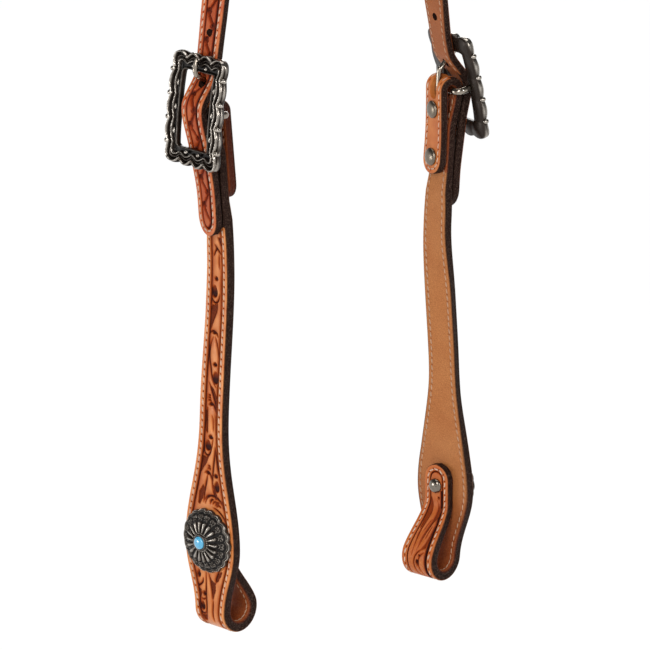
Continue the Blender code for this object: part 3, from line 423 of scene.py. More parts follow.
def crown_half(side):
    """One half of the crown, from the tip of its tail to the hanger: (point, way across, width, fullness)."""
    inner_u, inner_z = behind_rail(side, WINDOW_HEIGHT / 2)
    outer_u, outer_z = behind_rail(side, WINDOW_HEIGHT / 2 + FRAME_BAND)
    leaving = side.place(outer_u, 0, outer_z)
    touch = tangent_to_hanger(leaving, side)
    rise = touch - leaving
    slope = math.tan(math.atan2(side.sign * rise.x, rise.z) + side.lean)
    low_u, low_z = behind_rail(side, -WINDOW_HEIGHT / 2)
    low_u -= side.bow(low_z)[0] + side.tail_off_rail
    stations = [
        (-TAIL_LENGTH, TAIL_U, 0),
        (-BULGE_FOOT, TAIL_U, 0),
        (low_z, low_u, CROWN_FOOT_SLOPE),
        (BULGE_PEAK, BULGE_U, 0),
        (inner_z, inner_u, -math.tan(side.tilt)),
        (outer_z, outer_u, slope),
    ]
    stops = [(d - TAIL_LENGTH, w) for d, w in tip_stops(STRAP_WIDTH / 2, BILLET_POINT, 24)]
    stops += [(z, STRAP_WIDTH) for z in swept(stops[-1][0], outer_z, 140)]
    made = [(side.place(eased(stations, z), 0, z), side.near(z), width, 1) for z, width in stops]
    for share in swept(0, 1, 60):
        point = leaving.lerp(touch, share)
        made.append((point, side.near(point.z - side.centre.z), STRAP_WIDTH, 1))
    return made, touch


def crown_stops(left, right):
    """The whole crown from the tip of the left tail to the tip of the right one."""
    (made, touch), (other, other_touch) = crown_half(left), crown_half(right)
    ends = [math.atan2(point.z - HANGER_CENTRE.z, point.x) for point in (touch, other_touch)]
    turns = [side.heading(side.stations[-1][0]) for side in (left, right)]
    for share in swept(0, 1, 80)[:-1]:
        angle = ends[0] + (ends[1] - ends[0]) * share
        point = HANGER_CENTRE + CROWN_RADIUS * Vector((math.cos(angle), 0, math.sin(angle)))
        turned = eased([(0, turns[0], 0), (1, turns[1], 0)], share)
        made.append((point, near_at(turned), STRAP_WIDTH, 1))
    return made + other[::-1]


def closing_u(z):
    """The seam line of the cheek's outer leg below the buckle bar."""
    return eased([(-FOLD_CLOSING, CHEEK_U, 0), (0, FOLD_SEAM_RADIUS, 0)], max(z, -FOLD_CLOSING))


def cheek_width(side, z):
    """Width of the cheek: the strap swells into a flare about the concho, and narrows into the loop."""
    middle = -(side.concho_drop + FLARE_DROP)
    if z > middle:
        share = min((z - middle) / FLARE_UPPER_LENGTH, 1)
        return STRAP_WIDTH + (FLARE_WIDTH - STRAP_WIDTH) * math.cos(math.pi / 2 * share) ** 3
    share = min((middle - z) / FLARE_LOWER_LENGTH, 1)
    return LOOP_WIDTH + (FLARE_WIDTH - LOOP_WIDTH) * math.cos(math.pi / 2 * share) ** 2


def cheek_stops(side):
    """From the tip of the fold tab over the bar, down the cheek, round the loop and up to the tip of its tab, and
    which stop is level with the bar on the way down."""
    made = []

    def add(u, z, width, fullness):
        made.append((side.place(u, 0, z), side.near(z), width, fullness))

    stops = tip_stops(STRAP_WIDTH / 2, STRAP_WIDTH / 2, 24)
    for distance, width in stops:
        add(-FOLD_SEAM_RADIUS, distance - FOLD_TAB_LENGTH, width, 0)
    for z in swept(stops[-1][0] - FOLD_TAB_LENGTH, 0, 30):
        add(-FOLD_SEAM_RADIUS, z, STRAP_WIDTH, 0)
    for angle in swept(math.pi, 0, 10 * FINER):
        add(FOLD_SEAM_RADIUS * math.cos(angle), FOLD_SEAM_RADIUS * math.sin(angle), STRAP_WIDTH, 0)
    level = len(made) - 1
    for z in swept(0, -FOLD_TAB_LENGTH, 60):
        add(closing_u(z), z, STRAP_WIDTH, 0)
    thick_z = -FOLD_TAB_LENGTH - LINING_THICKENS_OVER
    for share in swept(0, 1, 10):
        z = -FOLD_TAB_LENGTH + (thick_z + FOLD_TAB_LENGTH) * share
        add(CHEEK_U, z, cheek_width(side, z), share)
    for z in swept(thick_z, side.loop_z, 200):
        add(CHEEK_U, z, cheek_width(side, z), 1)
    loop_u = CHEEK_U - LOOP_RADIUS
    for angle in swept(0, math.pi + LOOP_LIFT, 11 * FINER):
        z = side.loop_z - LOOP_RADIUS * math.sin(angle)
        width = min(cheek_width(side, z), cheek_width(side, side.loop_z))
        add(loop_u + LOOP_RADIUS * math.cos(angle), z, width, 1)
    leg_z = side.loop_z + LOOP_RADIUS * math.sin(LOOP_LIFT)
    leg_u = loop_u - LOOP_RADIUS * math.cos(LOOP_LIFT)
    leg_width = made[-1][2]
    seat_z = -(side.concho_drop + LOOP_TAB_BELOW)
    leg = [(leg_z, leg_u, math.tan(LOOP_LIFT)), (seat_z, LOOP_TAB_U, 0)]
    for share in swept(0, 1, 6 * FINER):
        z = leg_z + (seat_z - leg_z) * share
        add(eased(leg, z), z, leg_width + (LOOP_TAB_WIDTH - leg_width) * share, 1 - share)
    tip = -(side.concho_drop - LOOP_TAB_ABOVE)
    ends = tip_stops(LOOP_TAB_WIDTH / 2, LOOP_TAB_WIDTH / 2, 24)
    for z in swept(seat_z, tip - ends[-1][0], 20)[:-1]:
        add(LOOP_TAB_U, z, LOOP_TAB_WIDTH, 0)
    for distance, width in ends[::-1]:
        add(LOOP_TAB_U, tip - distance, width, 0)
    return made, level


class Strap:
    """A strap measured along its seam line at even steps: the point, the way across to the near edge, the way out of
    its face, half its width and how full its lining is."""

    def __init__(self, stops, facing, step):
        points, ways, widths, fullness = (np.array(values) for values in zip(*stops))
        self.runs = np.concatenate([[0], np.cumsum(np.linalg.norm(np.diff(points, axis=0), axis=1))])
        self.stop_halves = widths / 2
        self.length = self.runs[-1]
        self.s = np.linspace(0, self.length, round(self.length / step) + 1)
        self.points = self.spread(points)
        across = self.spread(ways)
        self.half = np.interp(self.s, self.runs, self.stop_halves)
        self.fullness = np.interp(self.s, self.runs, fullness)
        along = np.gradient(self.points, axis=0)
        along /= np.linalg.norm(along, axis=1)[:, None]
        square = across - (across * along).sum(1)[:, None] * along
        self.across = square / np.linalg.norm(square, axis=1)[:, None]
        self.along = along
        self.out = facing * np.cross(self.across, along)

    def spread(self, values):
        """Vectors given at the stops, spread over the even steps."""
        return np.stack([np.interp(self.s, self.runs, values[:, k]) for k in range(3)], axis=1)

    def outline(self):
        """The strap's edge laid flat, from the first tip along the near side to the second tip."""
        runs = np.interp(np.arange(0, len(self.runs) - 1, 0.25), np.arange(len(self.runs)), self.runs)
        return np.stack([runs, np.interp(runs, self.runs, self.stop_halves)], axis=1)

    def inset_line(self, inset):
        """A closed line at an even distance inside the strap's edge, laid flat, as points of (run, across)."""
        edge = self.outline()
        way = np.gradient(edge, axis=0)
        way /= np.linalg.norm(way, axis=1)[:, None]
        line = edge + inset * np.stack([way[:, 1], -way[:, 0]], axis=1)
        line = line[line[:, 1] > 0]
        return np.concatenate([line, line[::-1] * (1, -1), line[:1]])

    def at(self, run, across, level):
        """World place of a flat point, level out from the seam line, with the ways along, across and out there."""
        k = min(max(int(round(run / self.length * (len(self.s) - 1))), 0), len(self.s) - 1)
        place = self.points[k] + (run - self.s[k]) * self.along[k] + across * self.across[k] + level * self.out[k]
        return place, self.along[k], self.across[k], self.out[k]


class Surface:
    """The show side of one leather laid flat: how deep it is worked, how dark, and where it is matted, at each place
    of a grid over the strap."""

    def __init__(self, strap, columns):
        self.strap = strap
        shares = np.linspace(-1, 1, columns + 1)
        self.run = np.repeat(strap.s[:, None], columns + 1, axis=1)
        self.across = strap.half[:, None] * shares[None, :]
        slope = np.gradient(strap.half, strap.s)
        self.inset = (strap.half[:, None] - np.abs(self.across)) / np.sqrt(1 + slope[:, None] ** 2)
        edge = strap.outline()
        for rows in map(np.flatnonzero, (strap.s < NEAR_TIP, strap.s > strap.length - NEAR_TIP)):
            close = edge[(edge[:, 0] > strap.s[rows[0]] - 0.004) & (edge[:, 0] < strap.s[rows[-1]] + 0.004)]
            flat = np.stack([self.run[rows], np.abs(self.across[rows])], axis=-1)
            gaps = np.linalg.norm(flat[:, :, None, :] - close[None, None, :, :], axis=-1).min(axis=2)
            self.inset[rows] = np.minimum(gaps, self.inset[rows] + 0.02)
        self.depth = np.zeros_like(self.inset)
        self.dark = np.zeros_like(self.inset)
        self.matted = np.zeros_like(self.inset)
        self.oiled_wall = np.zeros_like(strap.s)

    def window(self, points, margin):
        """The rows of the grid that a mark can reach, and the flat places there."""
        first = np.searchsorted(self.strap.s, points[:, 0].min() - margin)
        rows = slice(first, np.searchsorted(self.strap.s, points[:, 0].max() + margin, "right"))
        return rows, np.stack([self.run[rows], self.across[rows]], axis=-1)

    def work(self, rows, depth, dark):
        """Deepens and darkens the rows where they aren't deeper or darker already."""
        self.depth[rows] = np.maximum(self.depth[rows], depth)
        self.dark[rows] = np.maximum(self.dark[rows], dark)

    def round_edge(self, radius):
        """Rounds the arris of the show side."""
        over = np.clip(radius - self.inset, 0, radius)
        self.depth += radius - np.sqrt(radius**2 - over**2)

    def press_line(self, inset, width, depth, dark, shade, sides=(1, 1)):
        """A line worked along the whole edge, with the shade that runs inwards from it."""
        off = self.inset - inset
        worked = np.exp(-((off / width) ** 2))
        self.depth += depth * worked
        fade = np.where(off > 0, np.exp(-np.maximum(off, 0) / shade), 0) * 0.85
        side = np.where(self.across > 0, sides[1], sides[0])
        self.dark = np.maximum(self.dark, dark * side * np.maximum(worked, fade))

    def cut(self, points, width, depth, dark, shade=0.0005):
        """A swivel knife cut that is beveled on one side, so that a shade runs off it on the right of its way."""
        points = np.array(points, float)
        for _ in range(3):
            middle = points[:-1] * 0.75 + points[1:] * 0.25
            later = points[:-1] * 0.25 + points[1:] * 0.75
            rounded = np.stack([middle, later], axis=1).reshape(-1, 2)
            points = np.concatenate([points[:1], rounded, points[-1:]])
        rows, flat = self.window(points, 0.003)
        a, b = points[:-1], points[1:]
        way = b - a
        off = flat[:, :, None, :] - a
        t = np.clip((off * way).sum(-1) / np.maximum((way**2).sum(-1), 1e-12), 0, 1)
        apart = off - t[..., None] * way
        gaps = np.linalg.norm(apart, axis=-1)
        k = gaps.argmin(axis=2)[..., None]
        gap = np.take_along_axis(gaps, k, 2)[..., 0]
        turn = way[..., 0] * apart[..., 1] - way[..., 1] * apart[..., 0]
        right = np.take_along_axis(turn, k, 2)[..., 0] * shade > 0
        taper = np.minimum(1, 3 * np.minimum(k[..., 0] + 1, len(a) - k[..., 0]) / len(a))
        worked = np.exp(-((gap / (width * (0.5 + 0.5 * taper))) ** 2)) * (0.4 + 0.6 * taper)
        fade = np.where(right, np.exp(-gap / abs(shade)), 0) * 0.85 * taper
        self.work(rows, depth * np.maximum(worked, fade * 0.6), dark * np.maximum(worked, fade))

    def seed(self, middle, long, wide, depth, dark):
        """A pear-shaded hollow: deepest and darkest at its foot, fading out at its head."""
        middle = np.array(middle)
        rows, flat = self.window(middle[None, :], 2 * long + 0.001)
        off = (flat - middle) / (long, wide)
        off[..., 1] /= np.clip(1 + 0.25 * off[..., 0], 0.5, 1.4)
        reach = np.linalg.norm(off, axis=-1)
        worked = np.clip((1.2 - reach) / 0.45, 0, 1)
        worked = worked * worked * (3 - 2 * worked)
        fade = np.clip(0.85 + 0.35 * off[..., 0], 0.35, 1)
        self.work(rows, depth * worked, dark * worked * fade)

    def ground(self, points, depth, dark):
        """The matted hollow inside an outline."""
        points = np.array(points, float)
        rows, flat = self.window(points, 0.001)
        inside = np.zeros(flat.shape[:2], bool)
        for (x0, y0), (x1, y1) in zip(points, np.roll(points, -1, axis=0)):
            spans = (flat[..., 1] < y0) != (flat[..., 1] < y1)
            inside ^= spans & (flat[..., 0] < x0 + (flat[..., 1] - y0) * (x1 - x0) / (y1 - y0 if y1 != y0 else 1))
        inside &= self.inset[rows] > BORDER_INSET
        self.work(rows, inside * depth, inside * dark)
        self.matted[rows] = np.maximum(self.matted[rows], inside)

    def awl_holes(self, places, radius, depth, dark):
        """Round dimples, at which the stitches enter the leather."""
        for place in places:
            rows, flat = self.window(place[None, :], 3 * radius)
            worked = np.exp(-(((flat - place) ** 2).sum(-1)) / radius**2)
            self.work(rows, depth * worked, dark * worked)


def stitch_places(strap, inset):
    """The stitches along a line inside the strap's edge, laid flat, as rows of a middle and a way, and their ends."""
    line = strap.inset_line(inset)
    runs = np.concatenate([[0], np.cumsum(np.linalg.norm(np.diff(line, axis=0), axis=1))])
    count = round(runs[-1] / STITCH_PITCH)
    ends = np.arange(count + 1) * runs[-1] / count
    ends = np.stack([np.interp(ends, runs, line[:, k]) for k in (0, 1)], axis=1)
    return np.concatenate([(ends[:-1] + ends[1:]) / 2, np.diff(ends, axis=0)], axis=1), ends


def placed(name, data):
    """A new object in the scene."""
    made = bpy.data.objects.new(name, data)
    bpy.context.scene.collection.objects.link(made)
    return made


def finished(name, work, material, body, smooth_degrees=180):
    """Makes a piece of a bmesh: closed, its faces looking outwards, riding on a body of the frame."""
    mesh = bpy.data.meshes.new(name)
    work.to_mesh(mesh)
    work.free()
    mesh.shade_smooth()
    if smooth_degrees < 180:
        mesh.set_sharp_from_angle(angle=math.radians(smooth_degrees))
    piece = placed(name, mesh)
    mesh.materials.append(material)
    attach(piece, body)
    return piece


def close_up(work):
    """Joins edges that meet, and turns the faces outwards."""
    bmesh.ops.remove_doubles(work, verts=work.verts, dist=0.000002)
    bmesh.ops.recalc_face_normals(work, faces=work.faces)
    if work.calc_volume(signed=True) < 0:
        bmesh.ops.reverse_faces(work, faces=work.faces)


def grid_shell(rows, columns, places, layers=()):
    """A bmesh grid bent to the places, an array of (rows + 1, columns + 1, 3), then closed where its sides meet. Each
    layer is (name, values) on the same grid."""
    work = bmesh.new()
    bmesh.ops.create_grid(work, x_segments=rows, y_segments=columns, size=1)
    kept = [(work.verts.layers.float.new(name), values) for name, values in layers]
    for vertex in work.verts:
        i = round((vertex.co.x + 1) / 2 * rows)
        j = round((vertex.co.y + 1) / 2 * columns)
        vertex.co = places[i, j]
        for layer, values in kept:
            vertex[layer] = values[i, j]
    close_up(work)
    return work


def leather_piece(name, surface, sign, thickness, dye, material, body):
    """One leather of a strap: its worked show side, its burnished edges and its flat side on the seam. dye is how far
    the black of the edge reaches in over the show side: edge dye, and painted shade where another strap lies on it."""
    strap = surface.strap
    level = thickness[:, None] - surface.depth
    top = (surface.across, level, surface.dark, surface.matted, surface.inset)
    wall = thickness * 0.45
    half = strap.half
    blank = np.zeros_like(half)
    seam = blank - 0.9 * SEAM
    ring = [(0.00010, wall), (-0.00004, seam)]
    stack = [list(field.T) for field in top]

    def more(place, height):
        for field, value in zip(stack, (place, height, blank, surface.oiled_wall, blank)):
            field.append(value)

    for swell, height in ring:
        more(half + np.minimum(swell, half), height)
    for share in (0.5, -0.5):
        more(half * share, seam)
    for swell, height in ring[::-1]:
        more(-half - np.minimum(swell, half), height)
    for field in stack:
        field.append(field[0])
    place, height, dark, matted, inset = (np.array(field).T for field in stack)
    edge = np.clip((dye[:, None] - inset) / 0.0002, 0, 1)
    shift = sign * (SEAM + height)
    places = strap.points[:, None] + place[..., None] * strap.across[:, None] + shift[..., None] * strap.out[:, None]
    ends = [np.repeat(row.mean(axis=0)[None, None], row.shape[0], axis=1) for row in (places[0], places[-1])]
    places = np.concatenate([ends[0], places, ends[1]])
    fields = [np.concatenate([field[:1], field, field[-1:]]) for field in (dark, matted, edge)]
    layers = list(zip(("dark", "matted", "edge"), fields))
    work = grid_shell(places.shape[0] - 1, places.shape[1] - 1, places, layers)
    return finished(name, work, material, body)


def stitching(name, strap, stitches, level, sign, material, body):
    """Thread between the awl holes: each stitch is a small lens that dips into the leather at its ends."""
    work = bmesh.new()
    for run, across, *way in stitches:
        place, along, near, out = strap.at(run, across, sign * (SEAM + level(run) - STITCH_SUNK))
        angle = math.atan2(way[1], way[0]) + STITCH_SLANT
        long = math.cos(angle) * along + math.sin(angle) * near
        wide = np.cross(out, long)
        axes = [axis * size for axis, size in zip((long, wide, out), STITCH_SIZE)]
        matrix = Matrix(np.stack(axes, axis=1).tolist()).to_4x4()
        matrix.translation = place
        bmesh.ops.create_uvsphere(work, u_segments=6, v_segments=5, radius=1, matrix=matrix @ LENS_TURN)
    bmesh.ops.recalc_face_normals(work, faces=work.faces)
    return finished(name, work, material, body)


def cut_out(piece, cutters, wall_material=None):
    """Cuts closed shapes, made in one bmesh, out of a piece. Their walls can have a material of their own."""
    tool_mesh = bpy.data.meshes.new("cutting tool")
    cutters.to_mesh(tool_mesh)
    cutters.free()
    tool_mesh.materials.append(wall_material or piece.data.materials[0])
    tool = placed("cutting tool", tool_mesh)
    boolean = piece.modifiers.new("cut", "BOOLEAN")
    boolean.operation = "DIFFERENCE"
    boolean.solver = "MANIFOLD"
    boolean.material_mode = "TRANSFER"
    boolean.object = tool
    cut_mesh = bpy.data.meshes.new_from_object(piece.evaluated_get(bpy.context.evaluated_depsgraph_get()))
    piece.modifiers.clear()
    piece.data = cut_mesh
    bpy.data.objects.remove(tool)
    cut_mesh.shade_smooth()
    cut_mesh.set_sharp_from_angle(angle=math.radians(50))


def spun(name, profile, matrix, material, body, steps, smooth_degrees):
    """A piece turned about its Z axis from (radius, height) points, then placed."""
    work = bmesh.new()
    verts = [work.verts.new((radius, 0, height)) for radius, height in profile]
    edges = [work.edges.new(pair) for pair in zip(verts, verts[1:])]
    bmesh.ops.spin(
        work, geom=verts + edges, cent=(0, 0, 0), axis=(0, 0, 1), angle=2 * math.pi, steps=steps, use_merge=True
    )
    close_up(work)
    bmesh.ops.transform(work, matrix=matrix, verts=work.verts)
    return finished(name, work, material, body, smooth_degrees)


def curve_through(points, per_part):
    """A smooth line through the points, with per_part steps between neighbours."""
    points = [Vector(point) for point in points]
    found = []
    for i in range(len(points) - 1):
        before, after = points[max(i - 1, 0)], points[min(i + 2, len(points) - 1)]
        a, b = points[i], points[i + 1]
        for k in range(per_part):
            t = k / per_part
            found.append(
                0.5 * (2 * a + (b - before) * t + (2 * before - 5 * a + 4 * b - after) * t * t
                + (3 * a - before - 3 * b + after) * t**3)
            )
    return found + [points[-1]]


def rod(name, points, radii, matrix, material, body):
    """A round rod along the points, with a radius for each, whose ends are rounded off."""
    points = [Vector(point) for point in points]
    rows = []
    side = Vector((0, 1, 0))
    for i, (point, radius) in enumerate(zip(points, radii)):
        along = (points[min(i + 1, len(points) - 1)] - points[max(i - 1, 0)]).normalized()
        if abs(along.y) > 0.999:
            first = Vector((1, 0, 0))
        else:
            first = (side - side.dot(along) * along).normalized()
        second = along.cross(first)
        rows.append((point, first, second, float(radius), along))

    def cap(row, way, angle):
        point, first, second, radius, along = row
        return point + way * along * radius * math.sin(angle), first, second, radius * math.cos(angle)

    angles = [math.radians(angle) for angle in (90, 65, 40, 18)]
    places = [cap(rows[0], -1, angle) for angle in angles] + [row[:4] for row in rows]
    places += [cap(rows[-1], 1, angle) for angle in angles[::-1]]
    ring = [2 * math.pi * k / ROD_SIDES for k in range(ROD_SIDES)] + [0]
    grid = np.array(
        [[tuple(p + r * (math.cos(a) * f + math.sin(a) * s)) for a in ring] for p, f, s, r in places]
    )
    work = grid_shell(len(places) - 1, ROD_SIDES, grid)
    bmesh.ops.transform(work, matrix=matrix, verts=work.verts)
    return finished(name, work, material, body)


def band_point(way):
    """A place on the centre line of the buckle's band and the outward direction there, as (v, q) pairs. way is the
    distance round it from the middle of one side."""
    corner = WINDOW_CORNER + FRAME_BAND / 2
    rise = BAND_HALF_HEIGHT - corner
    span = BAND_HALF_WIDTH - corner
    turn = corner * math.pi / 2
    quarter = rise + turn + span
    index = int(way // quarter) % 4
    local = way % quarter
    if index % 2:
        local = quarter - local
    if local < rise:
        angle = 0
        v, q = span + corner, local
    elif local < rise + turn:
        angle = (local - rise) / corner
        v, q = span + corner * math.cos(angle), rise + corner * math.sin(angle)
    else:
        angle = math.pi / 2
        v, q = span - (local - rise - turn), rise + corner
    sign_v = -1 if index in (1, 2) else 1
    sign_q = -1 if index in (2, 3) else 1
    return (sign_v * v, sign_q * q), (sign_v * math.cos(angle), sign_q * math.sin(angle))


def band_cusps():
    """The ways round the band at which its scallops meet: three on each side, two at each end, one on each corner."""
    corner = WINDOW_CORNER + FRAME_BAND / 2
    half = 2 * (BAND_HALF_HEIGHT + BAND_HALF_WIDTH - 2 * corner) + math.pi * corner
    first = [SIDE_CUSP_SPACING / 2, SIDE_CUSP_SPACING * 3 / 2, half / 2 - TOP_CUSP_SPACING]
    upper = first + [half / 2] + [half - way for way in reversed(first)]
    return upper + [half + way for way in upper] + [2 * half + upper[0]]


def hump(x, middle, width):
    """A rounded ridge of height 1 across a line."""
    return math.cos(math.pi / 2 * min(abs(x - middle) / width, 1)) ** 0.8


def band_relief(across, lobe, follow):
    """Height of the band's face above its middle, as a share of half its thickness, at a place across it from its
    inner edge at -1 to its outer edge at 1. follow is how far the ridges swing with the scallops."""
    groove = -0.35
    wave = math.sin(math.pi * lobe)
    bent = across - follow * (wave - 0.5)
    inner = 0.75 * hump(across, -0.90, 0.12)
    ridge = 0.92 * hump(bent, -0.12, 0.15)
    second = 0.70 * hump(bent, 0.22, 0.11) * (1 if follow > 0.3 else 0.55)
    rim = 1.12 * hump(bent, 0.70, 0.24)
    return groove + max(inner, ridge, second, rim, 0) * (1 - groove) * 0.92


def band_place(way, lobe, across, height):
    """A place of the frame in the buckle's own frame: across the band from -1 to 1, height in half thicknesses."""
    (v, q), (out_v, out_q) = band_point(way)
    swell = SCALLOP_DEPTH * (math.sin(math.pi * lobe) - 1 / 2)
    swell += CORNER_SWELL * math.sin(math.pi * lobe) * 2 * min(abs(out_v), abs(out_q))
    reach = across * FRAME_BAND / 2 + min(max(across + 0.6, 0), 1.2) / 1.2 * swell
    arch = FRAME_ARCH * abs(q / BAND_HALF_HEIGHT) ** 3
    return Vector((BAR_DEPTH - arch + height * FRAME_THICKNESS / 2, v + reach * out_v, q + reach * out_q))


def buckle_frame(side, material):
    """The cast frame: an arched band with scallops, a rolled rim, sunk grooves and wavy inner ridges, with beads."""
    cusps = band_cusps()
    stops = []
    for start, end in zip(cusps, cusps[1:]):
        lobes = [i / SCALLOP_STEPS for i in range(SCALLOP_STEPS)]
        stops += [(start + (end - start) * lobe, lobe) for lobe in lobes]
    stops.append((cusps[-1], 0.0))
    inner_wall = [(-1.0, -0.9), (-1.0, -0.3)]
    outer_wall_and_back = [(1.04, 0.3), (1.06, -0.2), (1.0, -0.75), (0.9, -1.0), (-0.9, -1.0), inner_wall[0]]
    rows, raised = [], []
    for way, lobe in stops:
        out_v = band_point(way)[1][0]
        follow = 0.16 if abs(out_v) > 0.9 else 0.34
        face = [(x, band_relief(x, lobe, follow)) for x in np.linspace(-1, 1, BAND_STEPS + 1)]
        ring = inner_wall + face + outer_wall_and_back
        rows.append([band_place(way, lobe, x, h) for x, h in ring])
        # The outer wall is rubbed partly bright, with a painted highlight where each scallop stands out.
        wall = 0.30 + 0.65 * math.sin(math.pi * lobe) ** 2
        worn = [min(max(h + 0.15, 0), 1) ** 1.6 if -1 < x <= 1 and h > -0.6 else 0.2 for x, h in ring]
        raised.append([wall if x > 1.02 else share for share, (x, _) in zip(worn, ring)])
    work = grid_shell(len(rows) - 1, len(rows[0]) - 1, np.array(rows), [("raised", np.array(raised))])
    matrix = side.buckle_matrix()
    # A bead sits inside each scallop but the corners' ones, and on the rim where two scallops of a side meet.
    beads = []
    for start, end in zip(cusps, cusps[1:]):
        way = (start + end) / 2
        _, (out_v, out_q) = band_point(way)
        if min(abs(out_v), abs(out_q)) > 0.2:
            continue
        upright = abs(out_v) > 0.9
        size = (0.0009, 0.00085, 0.00150) if upright else (0.0011, 0.0013, 0.0010)
        beads.append((band_place(way, 0.5, -0.46, 0.35), size))
    for start in cusps[:-1]:
        if abs(band_point(start)[1][0]) > 0.9:
            beads.append((band_place(start, 0, 1.10, 0.25), (0.0017, 0.0016, 0.0014)))
    layer = work.verts.layers.float["raised"]
    for place, size in beads:
        spot = Matrix.Translation(place) @ Matrix.Diagonal((*size, 1))
        made = bmesh.ops.create_uvsphere(work, u_segments=16, v_segments=10, radius=1, matrix=spot)
        for vertex in made["verts"]:
            vertex[layer] = 1.0
    bmesh.ops.transform(work, matrix=matrix, verts=work.verts)
    piece = finished(side.name + "_scalloped_frame", work, material, side.name + "_buckle")
    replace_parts(piece, side.name + "_buckle_frame")


def buckle_bar(side, material):
    """The staple bar: straight through the fold, then bent out to the back of each rail."""
    straight = STRAP_WIDTH / 2 + BAR_SIDE_CLEARANCE
    leg = straight + BAR_BEND
    end = BAR_DEPTH - FRAME_THICKNESS / 2 - GAP
    half = [(BAR_BEND * (1 - math.cos(a)), straight + BAR_BEND * math.sin(a), 0) for a in swept(0, math.pi / 2, 14)]
    half += [(end - BAR_RADIUS * 0.4, leg, 0)]
    points = [(p, -v, q) for p, v, q in half[::-1]] + [(0, v, 0) for v in (-straight, 0, straight)] + half
    name = side.name + "_staple_bar"
    radii = [BAR_RADIUS] * len(points)
    piece = rod(name, points, radii, side.buckle_matrix(), material, side.name + "_buckle")
    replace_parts(piece, side.name + "_buckle_bar")


def tongue_points():
    """The centre line of the tongue in the buckle's frame: a ring round the bar, a shank behind the crown, a bend
    outwards through the crown's hole, and a tip that lies on the top rail."""
    ring = BAR_RADIUS + GAP + TONGUE_RADIUS
    touch = TONGUE_RISE + math.pi / 2
    angles = [touch + TONGUE_WRAP] + swept(touch + TONGUE_WRAP, touch, 14)
    points = [(ring * math.cos(a), ring * math.sin(a)) for a in angles]
    wall = WINDOW_HEIGHT / 2 - TONGUE_RADIUS - GAP
    front = FRAME_END_P + FRAME_THICKNESS / 2
    rest = front + TONGUE_RADIUS
    knee_q = wall - TONGUE_JOG
    knee_p = points[-1][0] + (knee_q - points[-1][1]) / math.tan(TONGUE_RISE)
    points += [(knee_p - TONGUE_RADIUS / 2, knee_q - TONGUE_RADIUS), (knee_p + TONGUE_RADIUS / 2, knee_q)]
    knee = len(points) - 1
    points += [(front - TONGUE_RADIUS, wall - TONGUE_RADIUS / 3), (front, wall)]
    points += [(rest - TONGUE_RADIUS / 3, wall + TONGUE_RADIUS), (rest, wall + 2 * TONGUE_RADIUS)]
    points += [(rest, BAND_HALF_HEIGHT), (rest, BAND_HALF_HEIGHT + TONGUE_PAST_MIDDLE)]
    return points, knee


def buckle_tongue(side, material):
    """The wire tongue, which thins towards its tip."""
    points, _ = tongue_points()
    count = len(points)
    radii = [TONGUE_RADIUS] * (count - 2) + [TONGUE_RADIUS * 0.9, TONGUE_RADIUS * 0.6]
    line = curve_through([(p, 0, q) for p, q in points], 4)
    radii = np.interp(np.arange(len(line)) / 4, np.arange(count), radii)
    name = side.name + "_tongue"
    piece = rod(name + "_wire", line, radii, side.buckle_matrix(), material, name)
    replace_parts(piece, side.name + "_buckle_tongue")


def capped(shank, top, under, cap, height, lip, steps):
    """Profile points of a shank of one radius with a domed cap of another, from its top to the middle of the cap,
    which bulges downwards. lip rounds the cap's edge, by a share of its radius and a height."""
    rim = under - height * CAP_RIM_SHARE
    points = [(0, top), (shank, top), (shank, under), (cap * (1 - lip[0]), under), (cap, under - lip[1]), (cap, rim)]
    points += [(cap * math.cos(a), rim - height * math.sin(a)) for a in swept(0, math.pi / 2, steps)[:-1]]
    return points + [(0, rim - height)]


def rivets(side, material):
    """The two rivets through the fold, whose domed caps are on the inside."""
    for label, drop in zip(("upper", "lower"), RIVET_DROPS):
        under = -(FOLD_OUTER_RADIUS + GAP)
        top = closing_u(-drop) + SEAM + CHEEK_FACE - 2 * GAP
        profile = capped(RIVET_POST_RADIUS, top, under, RIVET_CAP_RADIUS, RIVET_CAP_HEIGHT, (0.02, 0.00015), 12)
        name = f"{side.name}_{label}_cap_rivet"
        piece = spun(name, profile, side.matrix(0, -drop), material, side.name + "_cheek", 48, 40)
        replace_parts(piece, f"{side.name}_{label}_rivet")


def concho_height(radius):
    """Height of the concho's smooth dome above its back."""
    return CONCHO_RIM_THICKNESS + CONCHO_HEIGHT * (1 - (radius / CONCHO_RADIUS) ** 2)


